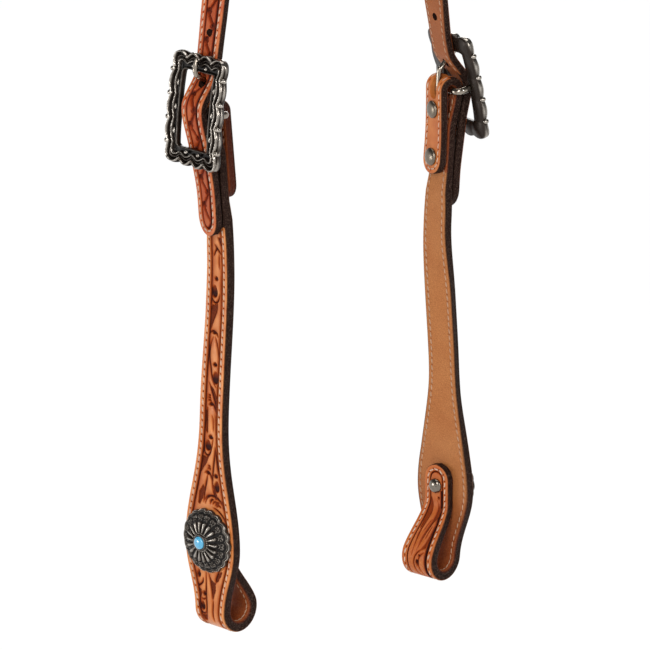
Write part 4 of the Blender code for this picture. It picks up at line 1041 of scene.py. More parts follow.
def concho_relief(radius, angle):
    """Extra height of the concho's face and how much of the patina is rubbed off it there."""
    lobe = 2 * math.pi / CONCHO_LOBES
    turn = (angle + lobe / 2) % lobe - lobe / 2
    scallop = CONCHO_LOBE_DEPTH * (1 - abs(math.cos(CONCHO_LOBES * angle / 2)))
    off = abs(turn) * radius
    if radius < BEAD_RING_OUTER:
        bead = (angle * CONCHO_BEADS / (2 * math.pi)) % 1 - 0.5
        along = bead * 2 * math.pi * radius / CONCHO_BEADS
        reach = math.hypot((radius - BEAD_RING) / 0.00040, along / 0.00042)
        return 0.00045 * max(0, 1 - reach**2) ** 0.5 - 0.0002, 1 if reach < 0.8 else 0.1
    if radius < PETALS_OUTER:
        share = (radius - BEAD_RING_OUTER) / PETAL_LENGTH
        width = (0.44 + 0.36 * share) * lobe * radius * 0.5
        if share > 0.78:
            width *= max(0, 1 - ((share - 0.78) / 0.22) ** 2) ** 0.5
        if width <= 0 or off > width:
            return -PETAL_HEIGHT, 0.0
        round_off = (1 - (off / width) ** 2) ** 0.5
        return PETAL_HEIGHT * (2.4 * round_off * (0.55 + 0.45 * share) - 1), 0.2 + 0.8 * round_off**2
    edge = CONCHO_RADIUS - scallop
    rim = hump(radius, edge - 0.00030, 0.00042)
    inner_rim = hump(radius, edge - 0.00120, 0.00030)
    x, y = turn * radius, radius - SCROLL_RING
    curl = math.hypot(abs(x) - 0.00085, y + 0.0002)
    ring = hump(curl, 0.00068, 0.00026) if y > -0.0006 or abs(x) > 0.0009 else 0
    dot = hump(curl, 0, 0.00024)
    arc = hump(math.hypot(x, y + 0.0022), 0.00095, 0.00028) if y > -0.0022 else 0
    raised = max(rim, inner_rim * 0.75, ring * 0.9, dot * 0.7, arc * 0.8)
    return raised * 0.00095 - 0.00045, raised


def concho(side, material, stone_material, post_material, screw_material):
    """The concho with its petals, scrolled rim and bezel, the stone, the hollow post and the slotted screw."""
    lower = -side.concho_drop
    back = CHEEK_OUTER_U + GAP
    matrix = side.matrix(0, lower)
    bore, seat = BEZEL_RADIUS - BEZEL_WALL, concho_height(BEZEL_RADIUS)
    columns = CONCHO_LOBES * LOBE_STEPS
    turns = [2 * math.pi * i / columns for i in range(columns + 1)]
    inside = [(0, seat), (bore, seat), (bore, seat + BEZEL_HEIGHT * 0.8), (bore + 0.0002, seat + BEZEL_HEIGHT)]
    inside += [(BEZEL_RADIUS, seat + BEZEL_HEIGHT * 0.9), (BEZEL_RADIUS + 0.0001, concho_height(FACE_START) - 0.0003)]
    radii = list(np.linspace(FACE_START, CONCHO_RADIUS, 74))
    rows, raised = [], []
    for turn in turns:
        ring = [(r, h, 0.6 if 0.0035 < r < 0.0043 else 0.2) for r, h in inside]
        edge_cut = CONCHO_LOBE_DEPTH * (1 - abs(math.cos(CONCHO_LOBES * turn / 2)))
        for radius in radii:
            pulled = radius - edge_cut * min(max((radius - 0.0110) / 0.0060, 0), 1)
            more, rubbed = concho_relief(pulled, turn)
            ring.append((pulled, concho_height(pulled) + more, rubbed))
        last = ring[-1][0]
        ring += [(last + 0.0001, CONCHO_RIM_THICKNESS * 0.5, 0.5), (last, 0, 0.2), (0, 0, 0.2)]
        rows.append([matrix @ Vector((r * math.cos(turn), r * math.sin(turn), back + h)) for r, h, _ in ring])
        raised.append([0.85 * rub for _, _, rub in ring])
    work = grid_shell(columns, len(rows[0]) - 1, np.array(rows), [("raised", np.array(raised))])
    name = side.name + "_concho"
    body = side.name + "_cheek"
    piece = finished(name + "_face", work, material, body)
    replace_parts(piece, name)
    fit = bore - GAP / 2
    girdle = back + seat + GAP + STONE_HEIGHT * 0.3
    stone = [(0, back + seat + GAP), (fit, back + seat + GAP), (fit, girdle)]
    stone += [(fit * math.cos(a), girdle + STONE_HEIGHT * 0.7 * math.sin(a)) for a in swept(0, math.pi / 2, 14)[:-1]]
    stone += [(0, girdle + STONE_HEIGHT * 0.7)]
    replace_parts(spun(name + "_turquoise", stone, matrix, stone_material, body, 48, 50), name + "_stone")
    face_out = LOOP_TAB_U - SEAM - CHEEK_FACE
    floor = CHEEK_OUTER_U - BEZEL_WALL
    post = [(0, CHEEK_OUTER_U), (POST_RADIUS, CHEEK_OUTER_U), (POST_RADIUS, face_out), (POST_BORE, face_out)]
    post += [(POST_BORE, floor), (0, floor)]
    post_piece = spun(name + "_barrel", post, matrix, post_material, body, 32, 40)
    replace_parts(post_piece, name + "_post")
    under = face_out - GAP
    head = capped(SCREW_RADIUS, floor - GAP, under, SCREW_HEAD_RADIUS, SCREW_HEAD_HEIGHT, (0.03, 0.0001), 14)
    screw_body = side.name + "_screw"
    screw = spun(side.name + "_slotted_screw", head, matrix, screw_material, screw_body, 48, 40)
    cutter = bmesh.new()
    size = Matrix.Diagonal((4 * SCREW_HEAD_RADIUS, SLOT_WIDTH * 0.6, 2 * SLOT_DEPTH, 1))
    set_turn = Matrix.Rotation(SLOT_TURN, 4, "Z")
    spot = matrix @ Matrix.Translation((0, 0, head[-1][1])) @ set_turn @ size
    bmesh.ops.create_cube(cutter, size=1, matrix=spot)
    cut_out(screw, cutter)
    shading = screw.modifiers.new("even shading beside the slot", "WEIGHTED_NORMAL")
    shading.keep_sharp = True
    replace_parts(screw, side.name + "_bit_screw")


def node(tree, kind, inputs=None, **settings):
    """Adds a node, whose kind is named without its prefix. The settings are its properties, and inputs its sockets'
    values, or the sockets that feed them."""
    made = tree.nodes.new("ShaderNode" + kind)
    for key, value in settings.items():
        setattr(made, key, value)
    for key, value in (inputs or {}).items():
        if isinstance(value, bpy.types.NodeSocket):
            tree.links.new(value, made.inputs[key])
        else:
            made.inputs[key].default_value = value
    return made


def new_material(name, **values):
    """A material with one Principled BSDF whose fixed values are given, and that shader and its node tree."""
    made = bpy.data.materials.new(name)
    made.use_nodes = True
    shader = made.node_tree.nodes["Principled BSDF"]
    for key, value in values.items():
        shader.inputs[key.replace("_", " ").title().replace("Ior", "IOR")].default_value = value
    return made, made.node_tree, shader


def feed(tree, shader, sources):
    """Feeds the shader's inputs from the sockets of other nodes."""
    for key, socket in sources.items():
        tree.links.new(socket, shader.inputs[key])


def leather_fields(tree):
    """The place on a leather and its marks: dark and matted by tools (on a lining, oil and painted shade), and how far
    into the edge's black: dye, and painted shade where another strap lies on it.
    """
    place = node(tree, "TexCoord").outputs["Object"]
    names = ("dark", "matted", "edge")
    return place, *(node(tree, "Attribute", attribute_name=name).outputs["Fac"] for name in names)


def burnished_edge(tree, place, matted):
    """The colour of an edge: dye soaks in to an uneven depth, and cut fibres leave pale specks in it. A matted edge is
    oiled instead, and red brown."""
    fibres = node(tree, "TexNoise", {"Vector": place, "Scale": 1500.0, "Detail": 8.0}).outputs["Fac"]
    specks = node(tree, "MapRange", {0: fibres, 1: 0.48, 2: 0.74, 3: 0.0, 4: 0.55}).outputs[0]
    dyed_edge = node(tree, "Mix", {0: matted, 6: linear("#21100A"), 7: linear("#501D0D")}, data_type="RGBA").outputs[2]
    return node(tree, "Mix", {0: specks, 6: dyed_edge, 7: linear("#6E584C")}, data_type="RGBA").outputs[2]


def tooled_leather(name, raised, worked, deepest, roughness):
    """Vegetable-tanned cowhide, carved, beveled, dyed in its hollows and resin finished: a warm satin skin with fine
    pores, dark antique in the cuts, matted ground, and edges burnished almost black."""
    made, tree, shader = new_material(name)
    place, dark, matted, edge = leather_fields(tree)
    # Dye takes unevenly over patches of about 8 mm, and pores are 0.4 mm apart.
    patches = node(tree, "TexNoise", {"Vector": place, "Scale": 130.0, "Detail": 3.0}).outputs["Fac"]
    pores = node(tree, "TexNoise", {"Vector": place, "Scale": 2400.0, "Detail": 2.0}).outputs["Fac"]
    spread = node(tree, "MapRange", {0: patches, 1: 0.35, 2: 0.65, 3: 0.0, 4: 1.0}).outputs[0]
    skin = node(tree, "Mix", {0: spread, 6: linear(raised[0]), 7: linear(raised[1])}, data_type="RGBA").outputs[2]
    first = node(tree, "MapRange", {0: dark, 1: 0.0, 2: 0.5, 3: 0.0, 4: 1.0}).outputs[0]
    second = node(tree, "MapRange", {0: dark, 1: 0.45, 2: 0.9, 3: 0.0, 4: 1.0}).outputs[0]
    dyed = node(tree, "Mix", {0: first, 6: skin, 7: linear(worked)}, data_type="RGBA").outputs[2]
    antiqued = node(tree, "Mix", {0: second, 6: dyed, 7: linear(deepest)}, data_type="RGBA").outputs[2]
    # The ground between leaves is struck with a matting tool of 0.6 mm points.
    points = node(tree, "TexVoronoi", {"Vector": place, "Scale": 1500.0}).outputs["Distance"]
    struck = node(tree, "Math", {0: points, 1: matted}, operation="MULTIPLY").outputs[0]
    bare = node(tree, "Math", {0: struck, 1: 0.55}, operation="MULTIPLY").outputs[0]
    ground = node(tree, "Mix", {0: bare, 6: antiqued, 7: linear(worked)}, data_type="RGBA").outputs[2]
    # The edge's black also stands for painted shade where another strap lies on the face.
    whole = node(tree, "Mix", {0: edge, 6: ground, 7: burnished_edge(tree, place, matted)}, data_type="RGBA").outputs[2]
    gloss = node(tree, "MapRange", {0: patches, 1: 0.3, 2: 0.7, 3: roughness - 0.06, 4: roughness + 0.08}).outputs[0]
    # The antique lies matt in the cuts, and so do the dyed edges.
    sunk = node(tree, "Mix", {0: first, 2: gloss, 3: 0.5}).outputs[0]
    matt = node(tree, "Mix", {0: edge, 2: sunk, 3: 0.6}).outputs[0]
    shine = node(tree, "Mix", {0: first, 2: 0.35, 3: 0.08}).outputs[0]
    low_shine = node(tree, "Mix", {0: edge, 2: shine, 3: 0.07}).outputs[0]
    rough = node(tree, "Math", {0: struck, 1: 3.0, 2: pores}, operation="MULTIPLY_ADD").outputs[0]
    bump = node(tree, "Bump", {"Height": rough, "Strength": 0.35, "Distance": 0.00012}).outputs[0]
    feed(tree, shader, {"Base Color": whole, "Roughness": matt, "Specular IOR Level": low_shine, "Normal": bump})
    return made


def lining_leather(name, light, deep):
    """Smooth oiled skirting leather, grain side out: an even tan with a fine pebble, a few dark natural specks, a
    soft satin and dark edges."""
    made, tree, shader = new_material(name)
    place, dark, matted, edge = leather_fields(tree)
    clouds = node(tree, "TexNoise", {"Vector": place, "Scale": 60.0, "Detail": 4.0}).outputs["Fac"]
    grain = node(tree, "TexNoise", {"Vector": place, "Scale": 2200.0, "Detail": 5.0}).outputs["Fac"]
    tan = node(tree, "Mix", {0: clouds, 6: linear(deep), 7: linear(light)}, data_type="RGBA").outputs[2]
    # matted marks the inside of the bends: red brown of oil and painted shade in the fold, painted shade in the loop.
    oiled = node(tree, "Mix", {0: matted, 6: tan, 7: linear("#94471F")}, data_type="RGBA").outputs[2]
    flecks = node(tree, "MapRange", {0: grain, 1: 0.38, 2: 0.64, 3: 0.0, 4: 0.55}).outputs[0]
    pebbled = node(tree, "Mix", {0: flecks, 6: oiled, 7: linear("#7E431F")}, data_type="RGBA").outputs[2]
    # In the bends the pebble stands up and has rubbed lighter.
    pebbles = node(tree, "TexVoronoi", {"Vector": place, "Scale": 1250.0}).outputs["Distance"]
    rubbed = node(tree, "MapRange", {0: pebbles, 1: 0.10, 2: 0.50, 3: 0.50, 4: 0.0}).outputs[0]
    rubbed = node(tree, "Math", {0: rubbed, 1: matted}, operation="MULTIPLY").outputs[0]
    pebbled = node(tree, "Mix", {0: rubbed, 6: pebbled, 7: linear("#BE7444")}, data_type="RGBA").outputs[2]
    far = node(tree, "TexVoronoi", {"Vector": place, "Scale": 26.0}).outputs["Distance"]
    mark = node(tree, "MapRange", {0: far, 1: 0.010, 2: 0.022, 3: 0.75, 4: 0.0}).outputs[0]
    marked = node(tree, "Mix", {0: mark, 6: pebbled, 7: linear("#4A2412")}, data_type="RGBA").outputs[2]
    holes = node(tree, "Mix", {0: dark, 6: marked, 7: linear("#6A2410")}, data_type="RGBA").outputs[2]
    # The edge's black also stands for painted shade where another strap lies on the lining.
    whole = node(tree, "Mix", {0: edge, 6: holes, 7: burnished_edge(tree, place, matted)}, data_type="RGBA").outputs[2]
    shine = node(tree, "Mix", {0: edge, 2: 0.2, 3: 0.07}).outputs[0]
    gloss = node(tree, "MapRange", {0: grain, 1: 0.3, 2: 0.7, 3: 0.48, 4: 0.62}).outputs[0]
    bump = node(tree, "Bump", {"Height": grain, "Strength": 0.5, "Distance": 0.0002}).outputs[0]
    feed(tree, shader, {"Base Color": whole, "Specular IOR Level": shine, "Roughness": gloss, "Normal": bump})
    return made


def punched_edge_leather():
    """The walls of punched holes: cut fibres, matt and almost black."""
    made, tree, shader = new_material("dyed leather of the punched holes", roughness=0.8, specular_ior_level=0.15)
    place = node(tree, "TexCoord").outputs["Object"]
    fibres = node(tree, "TexNoise", {"Vector": place, "Scale": 2600.0, "Detail": 3.0}).outputs["Fac"]
    whole = node(tree, "Mix", {0: fibres, 6: linear("#150A07"), 7: linear("#3E2218")}, data_type="RGBA").outputs[2]
    bump = node(tree, "Bump", {"Height": fibres, "Strength": 0.6, "Distance": 0.0002}).outputs[0]
    feed(tree, shader, {"Base Color": whole, "Normal": bump})
    return made


def bonded_thread(name, clean, soiled):
    """Bonded polyester thread: a hard twisted cord of 0.6 mm with a slight gloss, soiled unevenly in its twist."""
    made, tree, shader = new_material(name, roughness=0.5, specular_ior_level=0.3)
    place = node(tree, "TexCoord").outputs["Object"]
    # The plies of the twist are 0.6 mm apart along the thread, with soil between them.
    twist = {"Vector": place, "Scale": 1000.0, "Distortion": 1.0}
    plies = node(tree, "TexWave", twist, bands_direction="DIAGONAL").outputs["Fac"]
    patches = node(tree, "TexNoise", {"Vector": place, "Scale": 300.0}).outputs["Fac"]
    cream = node(tree, "Mix", {0: patches, 6: linear(soiled), 7: linear(clean)}, data_type="RGBA").outputs[2]
    between = node(tree, "MapRange", {0: plies, 1: 0.0, 2: 0.5, 3: 0.6, 4: 0.0}).outputs[0]
    twisted = node(tree, "Mix", {0: between, 6: cream, 7: linear(soiled)}, data_type="RGBA").outputs[2]
    bump = node(tree, "Bump", {"Height": plies, "Strength": 0.7, "Distance": 0.0002}).outputs[0]
    feed(tree, shader, {"Base Color": twisted, "Normal": bump})
    return made


def antiqued_metal():
    """Cast nickel silver, blackened and rubbed back: black patina in the hollows, a warm bright polish on the
    high places, and a brown film between."""
    made, tree, shader = new_material("antiqued nickel silver")
    place = node(tree, "TexCoord").outputs["Object"]
    raised = node(tree, "Attribute", attribute_name="raised").outputs["Fac"]
    film = node(tree, "TexNoise", {"Vector": place, "Scale": 420.0, "Detail": 4.0}).outputs["Fac"]
    uneven = node(tree, "Math", {0: film, 1: 0.35, 2: raised}, operation="MULTIPLY_ADD").outputs[0]
    rubbed = node(tree, "MapRange", {0: uneven, 1: 0.54, 2: 1.12, 3: 0.0, 4: 1.0}).outputs[0]
    high = node(tree, "Mix", {0: film, 6: linear("#746A5E"), 7: linear("#C6C0B8")}, data_type="RGBA").outputs[2]
    low = node(tree, "MapRange", {0: raised, 1: 0.02, 2: 0.25, 3: 0.0, 4: 1.0}).outputs[0]
    patina = node(tree, "Mix", {0: low, 6: linear("#0E0906"), 7: linear("#2B2018")}, data_type="RGBA").outputs[2]
    whole = node(tree, "Mix", {0: rubbed, 6: patina, 7: high}, data_type="RGBA").outputs[2]
    metal = node(tree, "MapRange", {0: rubbed, 1: 0.0, 2: 0.5, 3: 0.55, 4: 1.0}).outputs[0]
    gloss = node(tree, "MapRange", {0: rubbed, 1: 0.0, 2: 1.0, 3: 0.40, 4: 0.15}).outputs[0]
    bump = node(tree, "Bump", {"Height": film, "Strength": 0.3, "Distance": 0.0003}).outputs[0]
    feed(tree, shader, {"Base Color": whole, "Metallic": metal, "Roughness": gloss, "Normal": bump})
    return made


def plated_metal(name, code, darker, roughness):
    """Nickel plate over steel or brass: an even bright mirror that handling has dulled in small patches."""
    made, tree, shader = new_material(name, metallic=1.0)
    place = node(tree, "TexCoord").outputs["Object"]
    dulled = node(tree, "TexNoise", {"Vector": place, "Scale": 500.0, "Detail": 4.0}).outputs["Fac"]
    whole = node(tree, "Mix", {0: dulled, 6: linear(darker), 7: linear(code)}, data_type="RGBA").outputs[2]
    gloss = node(tree, "MapRange", {0: dulled, 1: 0.3, 2: 0.7, 3: roughness, 4: roughness + 0.1}).outputs[0]
    feed(tree, shader, {"Base Color": whole, "Roughness": gloss})
    return made


def turquoise_stone():
    """Polished turquoise, an opaque sky-blue stone: waxy mirror gloss, with faint paler clouds 2 mm across."""
    polish = {"roughness": 0.12, "ior": 1.61, "coat_weight": 1.0, "coat_roughness": 0.03}
    made, tree, shader = new_material("polished turquoise", **polish)
    place = node(tree, "TexCoord").outputs["Object"]
    clouds = node(tree, "TexNoise", {"Vector": place, "Scale": 450.0, "Detail": 3.0}).outputs["Fac"]
    whole = node(tree, "Mix", {0: clouds, 6: linear("#219ACC"), 7: linear("#5EC0E6")}, data_type="RGBA").outputs[2]
    feed(tree, shader, {"Base Color": whole})
    return made


def crown_tooling(surface, strap):
    """A zigzag vine of struck pits between the border lines, on a dyed ground, with a dark seed at each turn."""
    half_wave = 0.0073
    reach = STRAP_WIDTH / 2 - BORDER_INSET - 0.0016
    middle = strap.length / 2
    panel = surface.inset > BORDER_INSET
    surface.dark = np.where(panel, np.maximum(surface.dark, 0.26), surface.dark)
    count = int(strap.length / 2 / half_wave) - 1
    for k in range(-count, count):
        run = middle + k * half_wave
        if min(run, strap.length - run) < 0.008:
            continue
        way = 1 if k % 2 else -1
        start, end = np.array((run, -way * reach)), np.array((run + half_wave, way * reach))
        off = np.array((-(end - start)[1], (end - start)[0])) / np.linalg.norm(end - start) * 0.00075
        ground = [start + off, (start + end) / 2 + 1.3 * off, end + off, end - off, start - off]
        surface.ground(ground, depth=0.0006, dark=0.50)
        stem = [start, (start + end) / 2 + (0, way * 0.0006), end]
        surface.cut(stem, width=0.0008, depth=0.00070, dark=0.80, shade=way * 0.0022)
        for share in np.linspace(0.10, 0.90, 7):
            place = start + (end - start) * share
            pit = [place - (0.0012, 0.0006 * way), place + (0.0012, 0.0006 * way)]
            surface.cut(pit, width=0.00050, depth=0.00100, dark=1.0, shade=0.0004)
        surface.seed(end + (0, -way * 0.0007), long=0.0022, wide=0.0016, depth=0.0011, dark=1.0)
        petal = [end - (0.0032, 0), end - (0.0012, way * 0.0018), end + (0.0006, -way * 0.0030)]
        surface.cut(petal, width=0.00034, depth=0.0004, dark=0.8)


def carve(surface, flat, turn, motifs, ground_dark, cut_width, strength, shade_scale, seed_scale):
    """Floral marks in a surface, on which flat tells where the motifs' millimetres lie and turn which way a cut's
    shade falls."""
    grounds, cuts, seeds = motifs
    for outline in grounds:
        surface.ground([flat(place) for place in outline], 0.00070, ground_dark)
    for dark, shade, points in cuts:
        line = [flat(place) for place in points]
        surface.cut(line, cut_width, 0.00095, min(1, dark * strength), turn * shade / shade_scale)
    for middle, long, wide in seeds:
        surface.seed(flat(middle), long / 1000, wide / seed_scale, 0.0010, 1.0)


def cheek_tooling(surface, level_run, side):
    """The floral carving of a cheek, and the leaf that runs round its bit loop and up the loop's tab."""
    turn = -side.sign
    strap = surface.strap
    heights = strap.points[:, 2]
    lowest = int(heights.argmin())
    screw_z = side.place(0, 0, -side.concho_drop).z
    screw_run = strap.s[lowest + int(np.abs(heights[lowest:] - screw_z).argmin())]

    def below_bar(place):
        return level_run + place[0] / 1000, turn * place[1] / 1000

    def below_screw(place):
        return screw_run - place[0] / 1000, -turn * place[1] / 1000

    cheek, loop = (CHEEK_GROUNDS, CHEEK_CUTS, CHEEK_SEEDS), (LOOP_GROUNDS, LOOP_CUTS, LOOP_SEEDS)
    bold = {"ground_dark": 0.85, "cut_width": 0.00064, "strength": 1.6, "shade_scale": 700, "seed_scale": 1050}
    soft = {"ground_dark": 0.70, "cut_width": 0.00058, "strength": 0.8, "shade_scale": 1000, "seed_scale": 1000}
    carve(surface, below_bar, turn, cheek, **bold)
    carve(surface, below_screw, turn, loop, **soft)


def crown_leathers(face_leather, smooth_leather, punched, threads):
    """The crown's tooled face, its lining and their stitching, with the holes punched through both."""
    strap = Strap(crown_stops(*sides), 1, TOOLING_STEP)
    stitches, ends = stitch_places(strap, STITCH_INSET)
    face = Surface(strap, 48)
    face.round_edge(FACE_EDGE_ROUND)
    face.press_line(*STITCH_GROOVE, dark=0.15, shade=0.0002)
    face.press_line(BORDER_INSET, width=0.00060, depth=0.00100, dark=1.0, shade=0.0011)
    face.press_line(BORDER_INSET + 0.0003, width=0.00070, depth=0, dark=1.0, shade=0.0012)
    crown_tooling(face, strap)
    face.awl_holes(ends, radius=0.00042, depth=0.0005, dark=0.85)
    dye = np.full(len(strap.s), EDGE_DYE)
    thickness = np.full(len(strap.s), CROWN_FACE)
    crown_face = leather_piece("crown_tooled_leather", face, 1, thickness, dye, face_leather, "crown")
    clean, thread_in_painted_shade, worn = threads
    stitching("crown_face_stitching", strap, stitches, lambda run: CROWN_FACE, 1, clean, "crown")

    def on_cheek(runs):
        return np.minimum(runs, strap.length - runs) < COVERED_TAIL

    plain = Strap(crown_stops(*sides), 1, LINING_STEP)
    back = Surface(plain, 24)
    back.round_edge(LINING_EDGE_ROUND)
    back.awl_holes(ends, *LINING_HOLES)
    # The tails lie on the cheeks, where the lining's border is darkened as painted shade.
    dye = np.where(on_cheek(plain.s), PAINTED_SHADE_REACH, EDGE_DYE)
    thickness = np.full(len(plain.s), CROWN_LINING)
    name = "crown_lining_leather"
    crown_back = leather_piece(name, back, -1, thickness, dye, smooth_leather, "crown")
    hidden = on_cheek(stitches[:, 0])
    stitching("crown_lining_stitching", strap, stitches[~hidden], lambda run: CROWN_LINING, -1, worn, "crown")
    # The tail's lining stitches on the cheek are darkened as painted shade.
    stitching("crown_tail_lining_stitching", strap, stitches[hidden], lambda run: CROWN_LINING, -1, thread_in_painted_shade, "crown")
    for piece in (crown_face, crown_back):
        cut_out(piece, crown_hole_tools(), punched)
    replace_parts(crown_face, "crown_face")
    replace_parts(crown_back, "crown_lining")


def cheek_leathers(side, face_leather, smooth_leather, threads):
    """A cheek's tooled face, its lining and their stitching, with the slot for the tongue's ring cut in both."""
    body = side.name + "_cheek"
    stops, level_stop = cheek_stops(side)
    strap = Strap(stops, side.sign, TOOLING_STEP)
    level_run = strap.runs[level_stop]
    stitches, ends = stitch_places(strap, STITCH_INSET)
    face = Surface(strap, 84)
    face.press_line(*STITCH_GROOVE, dark=0.12, shade=0.0002)
    face.press_line(BORDER_INSET, width=0.00050, depth=0.00100, dark=1.0, shade=0.0008)
    before = face.dark.copy()
    # The dark inside the border is wider along one side: painted shade on that side's bevel.
    painted_shade_side = (1, 0) if side.sign < 0 else (0, 1)
    face.press_line(BORDER_INSET + 0.0004, width=0.00100, depth=0, dark=1.0, shade=0.0015, sides=painted_shade_side)
    at_tip = face.run > strap.length - NEAR_TIP
    face.dark[at_tip] = before[at_tip]
    plain_rows = face.run < level_run + PLAIN_LENGTH
    face.depth[plain_rows] = 0
    face.dark[plain_rows] = 0.16
    face.round_edge(FACE_EDGE_ROUND)
    cheek_tooling(face, level_run, side)
    # The loop's tab, handled most, has taken more oil than the rest.
    lowest = int(strap.points[:, 2].argmin())
    face.dark[lowest:] = np.maximum(face.dark[lowest:], 0.26)
    face.awl_holes(ends, radius=0.00048, depth=0.0005, dark=1.0)

    def under_tail(runs):
        return (runs > level_run + UNDER_TAIL[0]) & (runs < level_run + UNDER_TAIL[1])

    # Under the crown's tail the face's border is darkened as painted shade.
    dye = np.where(under_tail(strap.s), PAINTED_SHADE_REACH, EDGE_DYE)
    thickness = np.full(len(strap.s), CHEEK_FACE)
    # The left tab's edge is oiled, not dyed: it shows red brown.
    face.oiled_wall = np.clip((level_run - 0.006 - strap.s) / 0.010, 0, 1) * (0.85 if side.sign < 0 else 0)
    name = side.name + "_cheek_tooled_leather"
    cheek_face = leather_piece(name, face, 1, thickness, dye, face_leather, body)
    clean, thread_in_painted_shade, worn = threads
    hidden = under_tail(stitches[:, 0])
    stitching(side.name + "_cheek_face_stitching", strap, stitches[~hidden], lambda run: CHEEK_FACE, 1, clean, body)
    # The face's stitches under the crown's tail are darkened as painted shade.
    name = side.name + "_cheek_under_tail_stitching"
    stitching(name, strap, stitches[hidden], lambda run: CHEEK_FACE, 1, thread_in_painted_shade, body)

    plain = Strap(stops, side.sign, LINING_STEP)
    back = Surface(plain, 28)
    back.round_edge(LINING_EDGE_ROUND)
    # The lining is darkened where it bends: oil and painted shade in the fold, painted shade in the loop up to the tab.
    heights = plain.points[:, 2]
    lowest = int(heights.argmin())
    loop_painted_shade = np.clip((side.place(0, 0, -side.concho_drop).z + 0.004 - heights) / 0.036, 0, 1)
    loop_painted_shade[lowest:] = np.maximum(loop_painted_shade[lowest:], 0.9)
    back.matted += np.where(plain.s < level_run + OILED_AND_SHADED_LENGTH, 1.0, loop_painted_shade)[:, None]
    back.oiled_wall = np.interp(plain.s, strap.s, face.oiled_wall)
    back.awl_holes(ends, *LINING_HOLES)
    thickness = SKIVED_LINING + (CHEEK_LINING - SKIVED_LINING) * plain.fullness
    dye = np.full(len(plain.s), EDGE_DYE)
    name = side.name + "_cheek_lining_leather"
    cheek_back = leather_piece(name, back, -1, thickness, dye, smooth_leather, body)

    def lining_level(run):
        return float(np.interp(run, plain.s, thickness))

    stitching(side.name + "_cheek_lining_stitching", strap, stitches, lining_level, -1, worn, body)
    for piece in (cheek_face, cheek_back):
        cut_out(piece, ear_slot_tool(side))
    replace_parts(cheek_face, side.name + "_cheek_face")
    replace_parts(cheek_back, side.name + "_cheek_lining")


def straps():
    crown_leather = tooled_leather("tooled crown leather", ("#BC5523", "#D2743C"), "#94330F", "#330A03", 0.30)
    cheek_leather = tooled_leather("tooled cheek leather", ("#CA7032", "#DF8D4C"), "#9C3F12", "#330B03", 0.31)
    crown_smooth = lining_leather("smooth crown lining", "#B36C3F", "#98532A")
    cheek_smooth = lining_leather("smooth cheek lining", "#C98851", "#B06936")
    threads = (
        bonded_thread("cream bonded thread", "#EBD6C2", "#CDA88F"),
        # Thread under the crown's tail is darkened as painted shade.
        bonded_thread("thread stained by edge dye", "#4A3226", "#2B1B14"),
        bonded_thread("thread worn on the lining side", "#D8B599", "#AE8465"),
    )
    crown_leathers(crown_leather, crown_smooth, punched_edge_leather(), threads)
    for side in sides:
        cheek_leathers(side, cheek_leather, cheek_smooth, threads)


def add_cylinder(work, radius, length, matrix):
    """A closed cylinder along the matrix's Z, and its corners."""
    size = {"radius1": radius, "radius2": radius, "depth": length}
    return bmesh.ops.create_cone(work, cap_ends=True, segments=40, matrix=matrix, **size)["verts"]


def crown_hole_tools():
    """The holes through the crown: a slot for each tongue, and the spare holes above it."""
    work = bmesh.new()
    for side in sides:
        points, knee = tongue_points()
        start, end = (Vector((p, 0, q)) for p, q in (points[knee], points[knee + 1]))
        along = (end - start).normalized()
        lengthways = Vector((0, 1, 0)).cross(along)
        narrow = TONGUE_RADIUS + TONGUE_ROOM
        middle = (start + end) / 2 + lengthways * TONGUE_LIFT_ROOM / 2
        basis = axes_at(middle, lengthways, along.cross(lengthways), along)
        size = Matrix.Diagonal((narrow + TONGUE_LIFT_ROOM / 2, narrow, (end - start).length + 2 * TONGUE_RADIUS, 1))
        add_cylinder(work, 1, 1, side.buckle_matrix() @ basis @ size)
        edge_u, edge_z = behind_rail(side, WINDOW_HEIGHT / 2 + FRAME_BAND)
        passing = side.place(edge_u, 0, edge_z)
        run = (tangent_to_hanger(passing, side) - passing).normalized()
        for k in range(1, SPARE_HOLES + 1):
            point = passing + (TONGUE_HOLE_UP + k * HOLE_SPACING - edge_z) * run
            near = side.near(point.z - side.centre.z)
            out = near.cross(run)
            add_cylinder(work, HOLE_RADIUS, 0.012, axes_at(point, near, out.cross(near), out))
    bmesh.ops.recalc_face_normals(work, faces=work.faces)
    return work


def ear_slot_tool(side):
    """The slot across the top of the fold, open upwards and round at its foot, that the tongue's ring sits in."""
    slot_z = -EAR_SLOT_FOOT + EAR_SLOT_WIDTH / 2
    turned = side.matrix(0, slot_z, 0)
    if turned.to_3x3().col[1].z < 0:
        turned = turned @ Matrix.Rotation(math.pi, 4, "Z")
    work = bmesh.new()
    reach = FOLD_OUTER_RADIUS + 0.004
    verts = add_cylinder(work, EAR_SLOT_WIDTH / 2, 2 * reach, Matrix())
    bmesh.ops.translate(work, verts=[vertex for vertex in verts if vertex.co.y > 0], vec=(0, reach, 0))
    bmesh.ops.transform(work, matrix=turned, verts=work.verts)
    bmesh.ops.recalc_face_normals(work, faces=work.faces)
    return work


def hardware():
    antiqued = antiqued_metal()
    bright = plated_metal("polished nickel silver", "#A39A8E", "#867C70", 0.10)
    satin = plated_metal("satin nickel plate", "#857B6E", "#6A5F53", 0.24)
    glossy = plated_metal("bright nickel plate", "#8A8278", "#70685E", 0.13)
    stone = turquoise_stone()
    for side in sides:
        buckle_frame(side, antiqued)
        buckle_bar(side, bright)
        buckle_tongue(side, bright)
        rivets(side, satin)
        concho(side, antiqued, stone, bright, glossy)


def softbox(name, place, target, width, height, power):
    """A rectangular lamp that faces its target."""
    light = bpy.data.lights.new(name, "AREA")
    light.shape = "RECTANGLE"
    light.size, light.size_y = width, height
    light.energy = power
    lamp = placed(name, light)
    lamp.location = place
    lamp.rotation_euler = (Vector(target) - Vector(place)).to_track_quat("-Z", "Y").to_euler()


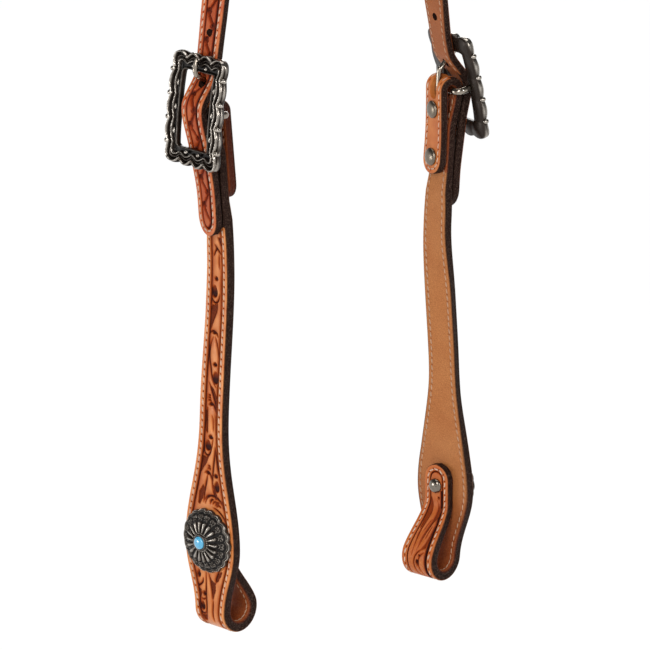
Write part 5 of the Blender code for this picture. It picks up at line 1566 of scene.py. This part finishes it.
def studio():
    """White floor and room, soft boxes, and the camera at the picture's angle."""
    scene = bpy.context.scene
    scene.view_settings.view_transform = "Standard"
    target = Vector((0.0018, 0, -0.3590))
    camera_data = bpy.data.cameras.new("camera")
    camera_data.lens = 255.2
    camera_data.sensor_width = 36
    camera_data.clip_end = 100
    camera = placed("camera", camera_data)
    distance, way = 2.4, Vector((-0.69318, -0.66939, 0.26724))
    camera.location = target + distance * way
    camera.rotation_euler = (target - camera.location).to_track_quat("-Z", "Y").to_euler()
    scene.camera = camera

    work = bmesh.new()
    bmesh.ops.create_grid(work, x_segments=1, y_segments=1, size=12, matrix=Matrix.Translation((0, 0, -0.95)))
    mesh = bpy.data.meshes.new("floor")
    work.to_mesh(mesh)
    work.free()
    floor = placed("floor", mesh)
    # Matt white paper, which the camera and the metal see as white but for a part of the object's shadow.
    made, tree, shader = new_material("white paper floor", base_color=linear("#F4F4F4"), roughness=0.9)
    rays = node(tree, "LightPath").outputs
    seen = node(tree, "Math", {0: rays["Is Camera Ray"], 1: rays["Is Glossy Ray"]}, operation="MAXIMUM").outputs[0]
    seen = node(tree, "Math", {0: seen, 1: rays["Is Transmission Ray"]}, operation="MAXIMUM").outputs[0]
    share = node(tree, "Math", {0: seen, 1: 0.95}, operation="MULTIPLY").outputs[0]
    glow = node(tree, "Emission", {"Color": (1, 1, 1, 1), "Strength": 1.05}).outputs[0]
    mixed = node(tree, "MixShader", {0: share, 1: shader.outputs[0], 2: glow}).outputs[0]
    tree.links.new(mixed, tree.nodes["Material Output"].inputs[0])
    mesh.materials.append(made)

    world = bpy.data.worlds.new("studio room")
    scene.world = world
    world.use_nodes = True
    tree = world.node_tree
    # White walls up to a little above the floor's far edge, going over into a dim ceiling.
    height = node(tree, "SeparateXYZ", {0: node(tree, "TexCoord").outputs["Generated"]}).outputs[2]
    strength = node(tree, "MapRange", {0: height, 1: 0.05, 2: 0.35, 3: 1.0, 4: 0.12}).outputs[0]
    tree.links.new(strength, tree.nodes["Background"].inputs["Strength"])
    tree.nodes["Background"].inputs["Color"].default_value = (1, 1, 1, 1)

    # What each lamp is called, its place and target, its width and height in metres, and its power in watts.
    softbox("key", (-2.0, -1.0, 0.8), (0, 0, -0.3), 1.0, 1.4, 30)
    softbox("side", (-0.3, -2.3, 0.7), (0, 0, -0.3), 0.35, 0.7, 15)
    softbox("top", (0.2, 0.3, 1.6), (0, 0, -0.3), 1.2, 1.2, 14)
    softbox("rim", (1.5, 1.3, 0.4), (0, 0, -0.3), 0.8, 1.4, 12)
    softbox("glint", (-1.75, 1.25, -0.50), (0, 0, -0.45), 0.45, 0.50, 8)


sides = (Side(0), Side(1))
straps()
hardware()
studio()
